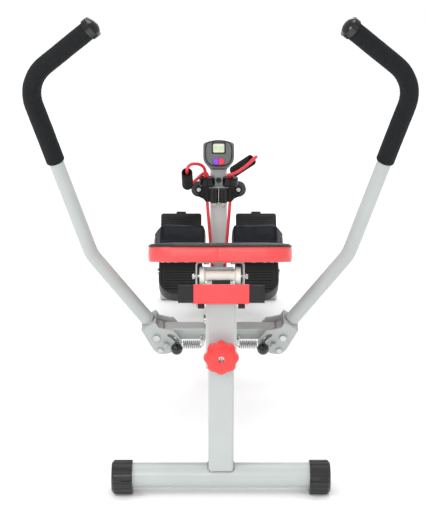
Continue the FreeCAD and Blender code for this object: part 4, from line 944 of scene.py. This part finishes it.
def console_trim():
    """Dark line in the housing's groove, the window's frame, and the display's blank segments."""
    half, top, low = 0.0345, 0.0235, -0.0355
    outline = [(-half, top), (-half * 0.55, top + 0.0075), (0, top + 0.0100), (half * 0.55, top + 0.0075),
               (half, top), (half, -0.012), (half * 0.86, -0.0275), (half * 0.42, low), (-half * 0.42, low),
               (-half * 0.86, -0.0275), (-half, -0.012)]
    path = curve_points([CONSOLE @ Vector((x, -0.0121, z)) for x, z in outline], cyclic=True, detail=8)
    ring = []
    up = CONSOLE.to_3x3() @ Vector((0, -1, 0))
    for i, place in enumerate(path):
        ahead = (path[(i + 1) % len(path)] - path[i - 1]).normalized()
        side = ahead.cross(up)
        for k in range(8):
            angle = math.pi / 4 * k
            ring.append(place + side * (0.0011 * math.cos(angle)) + up * (0.0007 * math.sin(angle)))
    mesh_piece("console_line", ring, grid_faces(len(path), 8, closed_rows=True), "trim_black", "frame")
    points, rows = [], ((0.0150, 0.0120, -0.0116), (0.0155, 0.0125, -0.0127), (0.0172, 0.0142, -0.0129),
                        (0.0186, 0.0156, -0.0124), (0.0188, 0.0158, -0.0116))
    for half_x, half_z, y in rows:
        for x, z in rounded_rectangle(half_x, half_z, 0.0022, 60):
            points.append(CONSOLE @ Vector((x, y, z + 0.01265)))
    mesh_piece("window_frame", points, grid_faces(len(rows), 60), "trim_black", "frame")
    points, faces = [], []
    for digit in range(3):
        for x, z, upright in ((0, 0.0052, 0), (0, 0, 0), (0, -0.0052, 0), (-0.003, 0.0026, 1),
                              (0.003, 0.0026, 1), (-0.003, -0.0026, 1), (0.003, -0.0026, 1)):
            centre = Vector((x + (digit - 1) * 0.0092, -0.01105, z + 0.01265))
            ahead = Vector((0, 0, 1)) if upright else Vector((1, 0, 0))
            add_stitch(points, faces, CONSOLE, centre, ahead, Vector((0, -1, 0)), 0.0044, 0.00028)
    mesh_piece("window_segments", points, faces, "grey_plastic", "frame")


MAST_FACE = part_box("front_post")[1].y - 0.045
EAR_X, EAR_Z, EAR_FRONT = 0.053, 0.3304, MAST_FACE + 0.0022
NECK_SCREW_Z = 0.358
BOLT_X, BOLT_Z = 0.0135, 0.2880


def turned(centre, rows, around):
    """Points of rings about an axis along Y, one ring for each (radius, y) or (radius, y, corners)."""
    points = []
    for radius, y, *corners in rows:
        for j in range(around):
            angle = 2 * math.pi * j / around
            r = radius
            if corners:
                half = math.pi / corners[0]
                r = radius / math.cos((angle + half) % (2 * half) - half)
            points.append(centre + Vector((r * math.cos(angle), y, r * math.sin(angle))))
    return points


def neck_screw():
    """Black socket cap over the screw that holds the console's neck."""
    rows = ((0.0026, -0.00715, 6), (0.0026, -0.0082, 6), (0.0034, -0.0086), (0.0060, -0.0086),
            (0.0070, -0.0078), (0.0072, -0.0032))
    points = turned(Vector((0, MAST_FACE, NECK_SCREW_Z)), rows, 24)
    faces = grid_faces(len(rows), 24) + [tuple(range(24))]
    mesh_piece("neck_screw_cap", points, faces, "gloss_black", "frame", False)


def mast_bolts():
    """Two domed bolt heads on the mast's face, just under the band guide."""
    rows = ((0.0066, -0.0001), (0.0066, -0.0008), (0.0060, -0.0022), (0.0045, -0.0034), (0.0022, -0.0041))
    around = 28
    points, faces = [], []
    for side in (-1, 1):
        base = len(points)
        points += turned(Vector((side * BOLT_X, MAST_FACE, BOLT_Z)), rows, around)
        faces += [tuple(base + k for k in quad) for quad in grid_faces(len(rows), around)]
        faces.append(tuple(range(base + (len(rows) - 1) * around, base + len(rows) * around)))
        faces.append(tuple(range(base, base + around))[::-1])
    mesh_piece("mast_bolt_heads", points, faces, "zinc_steel", "frame")


def guide_trim():
    """Rings on the guide's round ears, and a bright zinc strip between its two rollers that stands in for the
    highlight there.
    """
    ring_half, arc = 0.0009, 5
    rows = [(radius - ring_half * math.cos(math.pi * k / 4), -ring_half * math.sin(math.pi * k / 4))
            for radius in (0.0172, 0.0140, 0.0108) for k in range(arc)]
    faces = [tuple(v + ring * arc * 48 for v in quad) for ring in range(3) for quad in grid_faces(arc, 48)]
    for name, side in SIDES:
        points = turned(Vector((side * EAR_X, EAR_FRONT, EAR_Z)), rows, 48)
        mesh_piece("guide_rings_" + name, points, faces, "grey_plastic", "frame")
    # Painted highlight: a thin zinc strip between the rollers stands in for the bright highlight seen there.
    low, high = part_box("band_guide")
    strip_y = low.y + 0.004
    points = [(x, strip_y + y, z) for z in (low.z + 0.004, high.z - 0.004)
              for x, y in ((-0.0013, 0.003), (-0.0009, 0.0018), (0.0009, 0.0018), (0.0013, 0.003))]
    mesh_piece("guide_highlight_strip", points, grid_faces(2, 4), "zinc_steel", "frame", False)


# ---------------------------------------------------------------- studio
def studio():
    """White floor and surroundings. The surroundings are dimmer in reflections, so that gloss keeps shape."""
    floor = bpy.data.meshes.new("floor")
    size = 12.0
    rows = 24
    points = [(size * (2 * i / rows - 1), size * (2 * j / rows - 1), 0)
              for i in range(rows + 1) for j in range(rows + 1)]
    floor.from_pydata(points, [], [(i * (rows + 1) + j, (i + 1) * (rows + 1) + j,
                                    (i + 1) * (rows + 1) + j + 1, i * (rows + 1) + j + 1)
                                   for i in range(rows) for j in range(rows)])
    ground = bpy.data.objects.new("floor", floor)
    bpy.context.scene.collection.objects.link(ground)
    paint = Paint("floor", (0.95, 0.95, 0.95), 0.9)
    paint.shader.inputs["Specular IOR Level"].default_value = 0
    floor.materials.append(paint.material)

    world = bpy.data.worlds.new("studio")
    world.use_nodes = True
    bpy.context.scene.world = world
    tree = world.node_tree
    bright, mirrored = tree.nodes["Background"], tree.nodes.new("ShaderNodeBackground")
    for background, strength in ((bright, 1.05), (mirrored, 0.4)):
        background.inputs["Color"].default_value = (1, 1, 1, 1)
        background.inputs["Strength"].default_value = strength
    ray = tree.nodes.new("ShaderNodeLightPath")
    mix = tree.nodes.new("ShaderNodeMixShader")
    tree.links.new(ray.outputs["Is Glossy Ray"], mix.inputs["Fac"])
    tree.links.new(bright.outputs["Background"], mix.inputs[1])
    tree.links.new(mirrored.outputs["Background"], mix.inputs[2])
    tree.links.new(mix.outputs["Shader"], tree.nodes["World Output"].inputs["Surface"])
    for name, place, size, power in (
            ("key", (-2.4, -2.2, 3.0), 1.6, 36), ("fill", (2.6, -2.4, 2.0), 1.8, 3),
            ("front", (-0.5, -3.6, 1.9), 0.9, 20),
            ("top", (0.3, 0.4, 3.4), 1.8, 18), ("back", (0.6, 3.4, 2.2), 1.8, 14)):
        light = bpy.data.lights.new(name, "AREA")
        light.shape = "DISK"
        light.size = size
        light.energy = power
        lamp = bpy.data.objects.new(name, light)
        lamp.location = place
        lamp.rotation_euler = (Vector((0, 0, 0.35)) - Vector(place)).to_track_quat("-Z", "Y").to_euler()
        bpy.context.scene.collection.objects.link(lamp)
    bpy.context.scene.view_settings.view_transform = "Standard"


LENS, SHIFT_X, LOOK_DOWN = 113.2, 0.0022, 16
CAMERA_BACK, CAMERA_Z = 2.953, 1.342


def camera():
    """Looks along the rail from behind the rear post, at standing height."""
    data = bpy.data.cameras.new("camera")
    data.sensor_fit = "VERTICAL"
    data.sensor_height = 36
    data.lens, data.shift_x = LENS, SHIFT_X
    data.clip_end = 60
    view = bpy.data.objects.new("camera", data)
    view.location = (-0.018, POST_Y - CAMERA_BACK, CAMERA_Z)
    view.rotation_euler = (math.radians(90 - LOOK_DOWN), 0, 0)
    bpy.context.scene.collection.objects.link(view)
    bpy.context.scene.camera = view


def make_pieces():
    seat_cushion()
    seat_trim()
    for name, side in SIDES:
        arm_grip(name, side)
        arm_spring(name, side)
        foot_strap(name, side)
        pull_band(name, side)
    weld_beads()
    console_trim()
    guide_trim()
    neck_screw()
    mast_bolts()


dress_frame()
make_pieces()
studio()
camera()
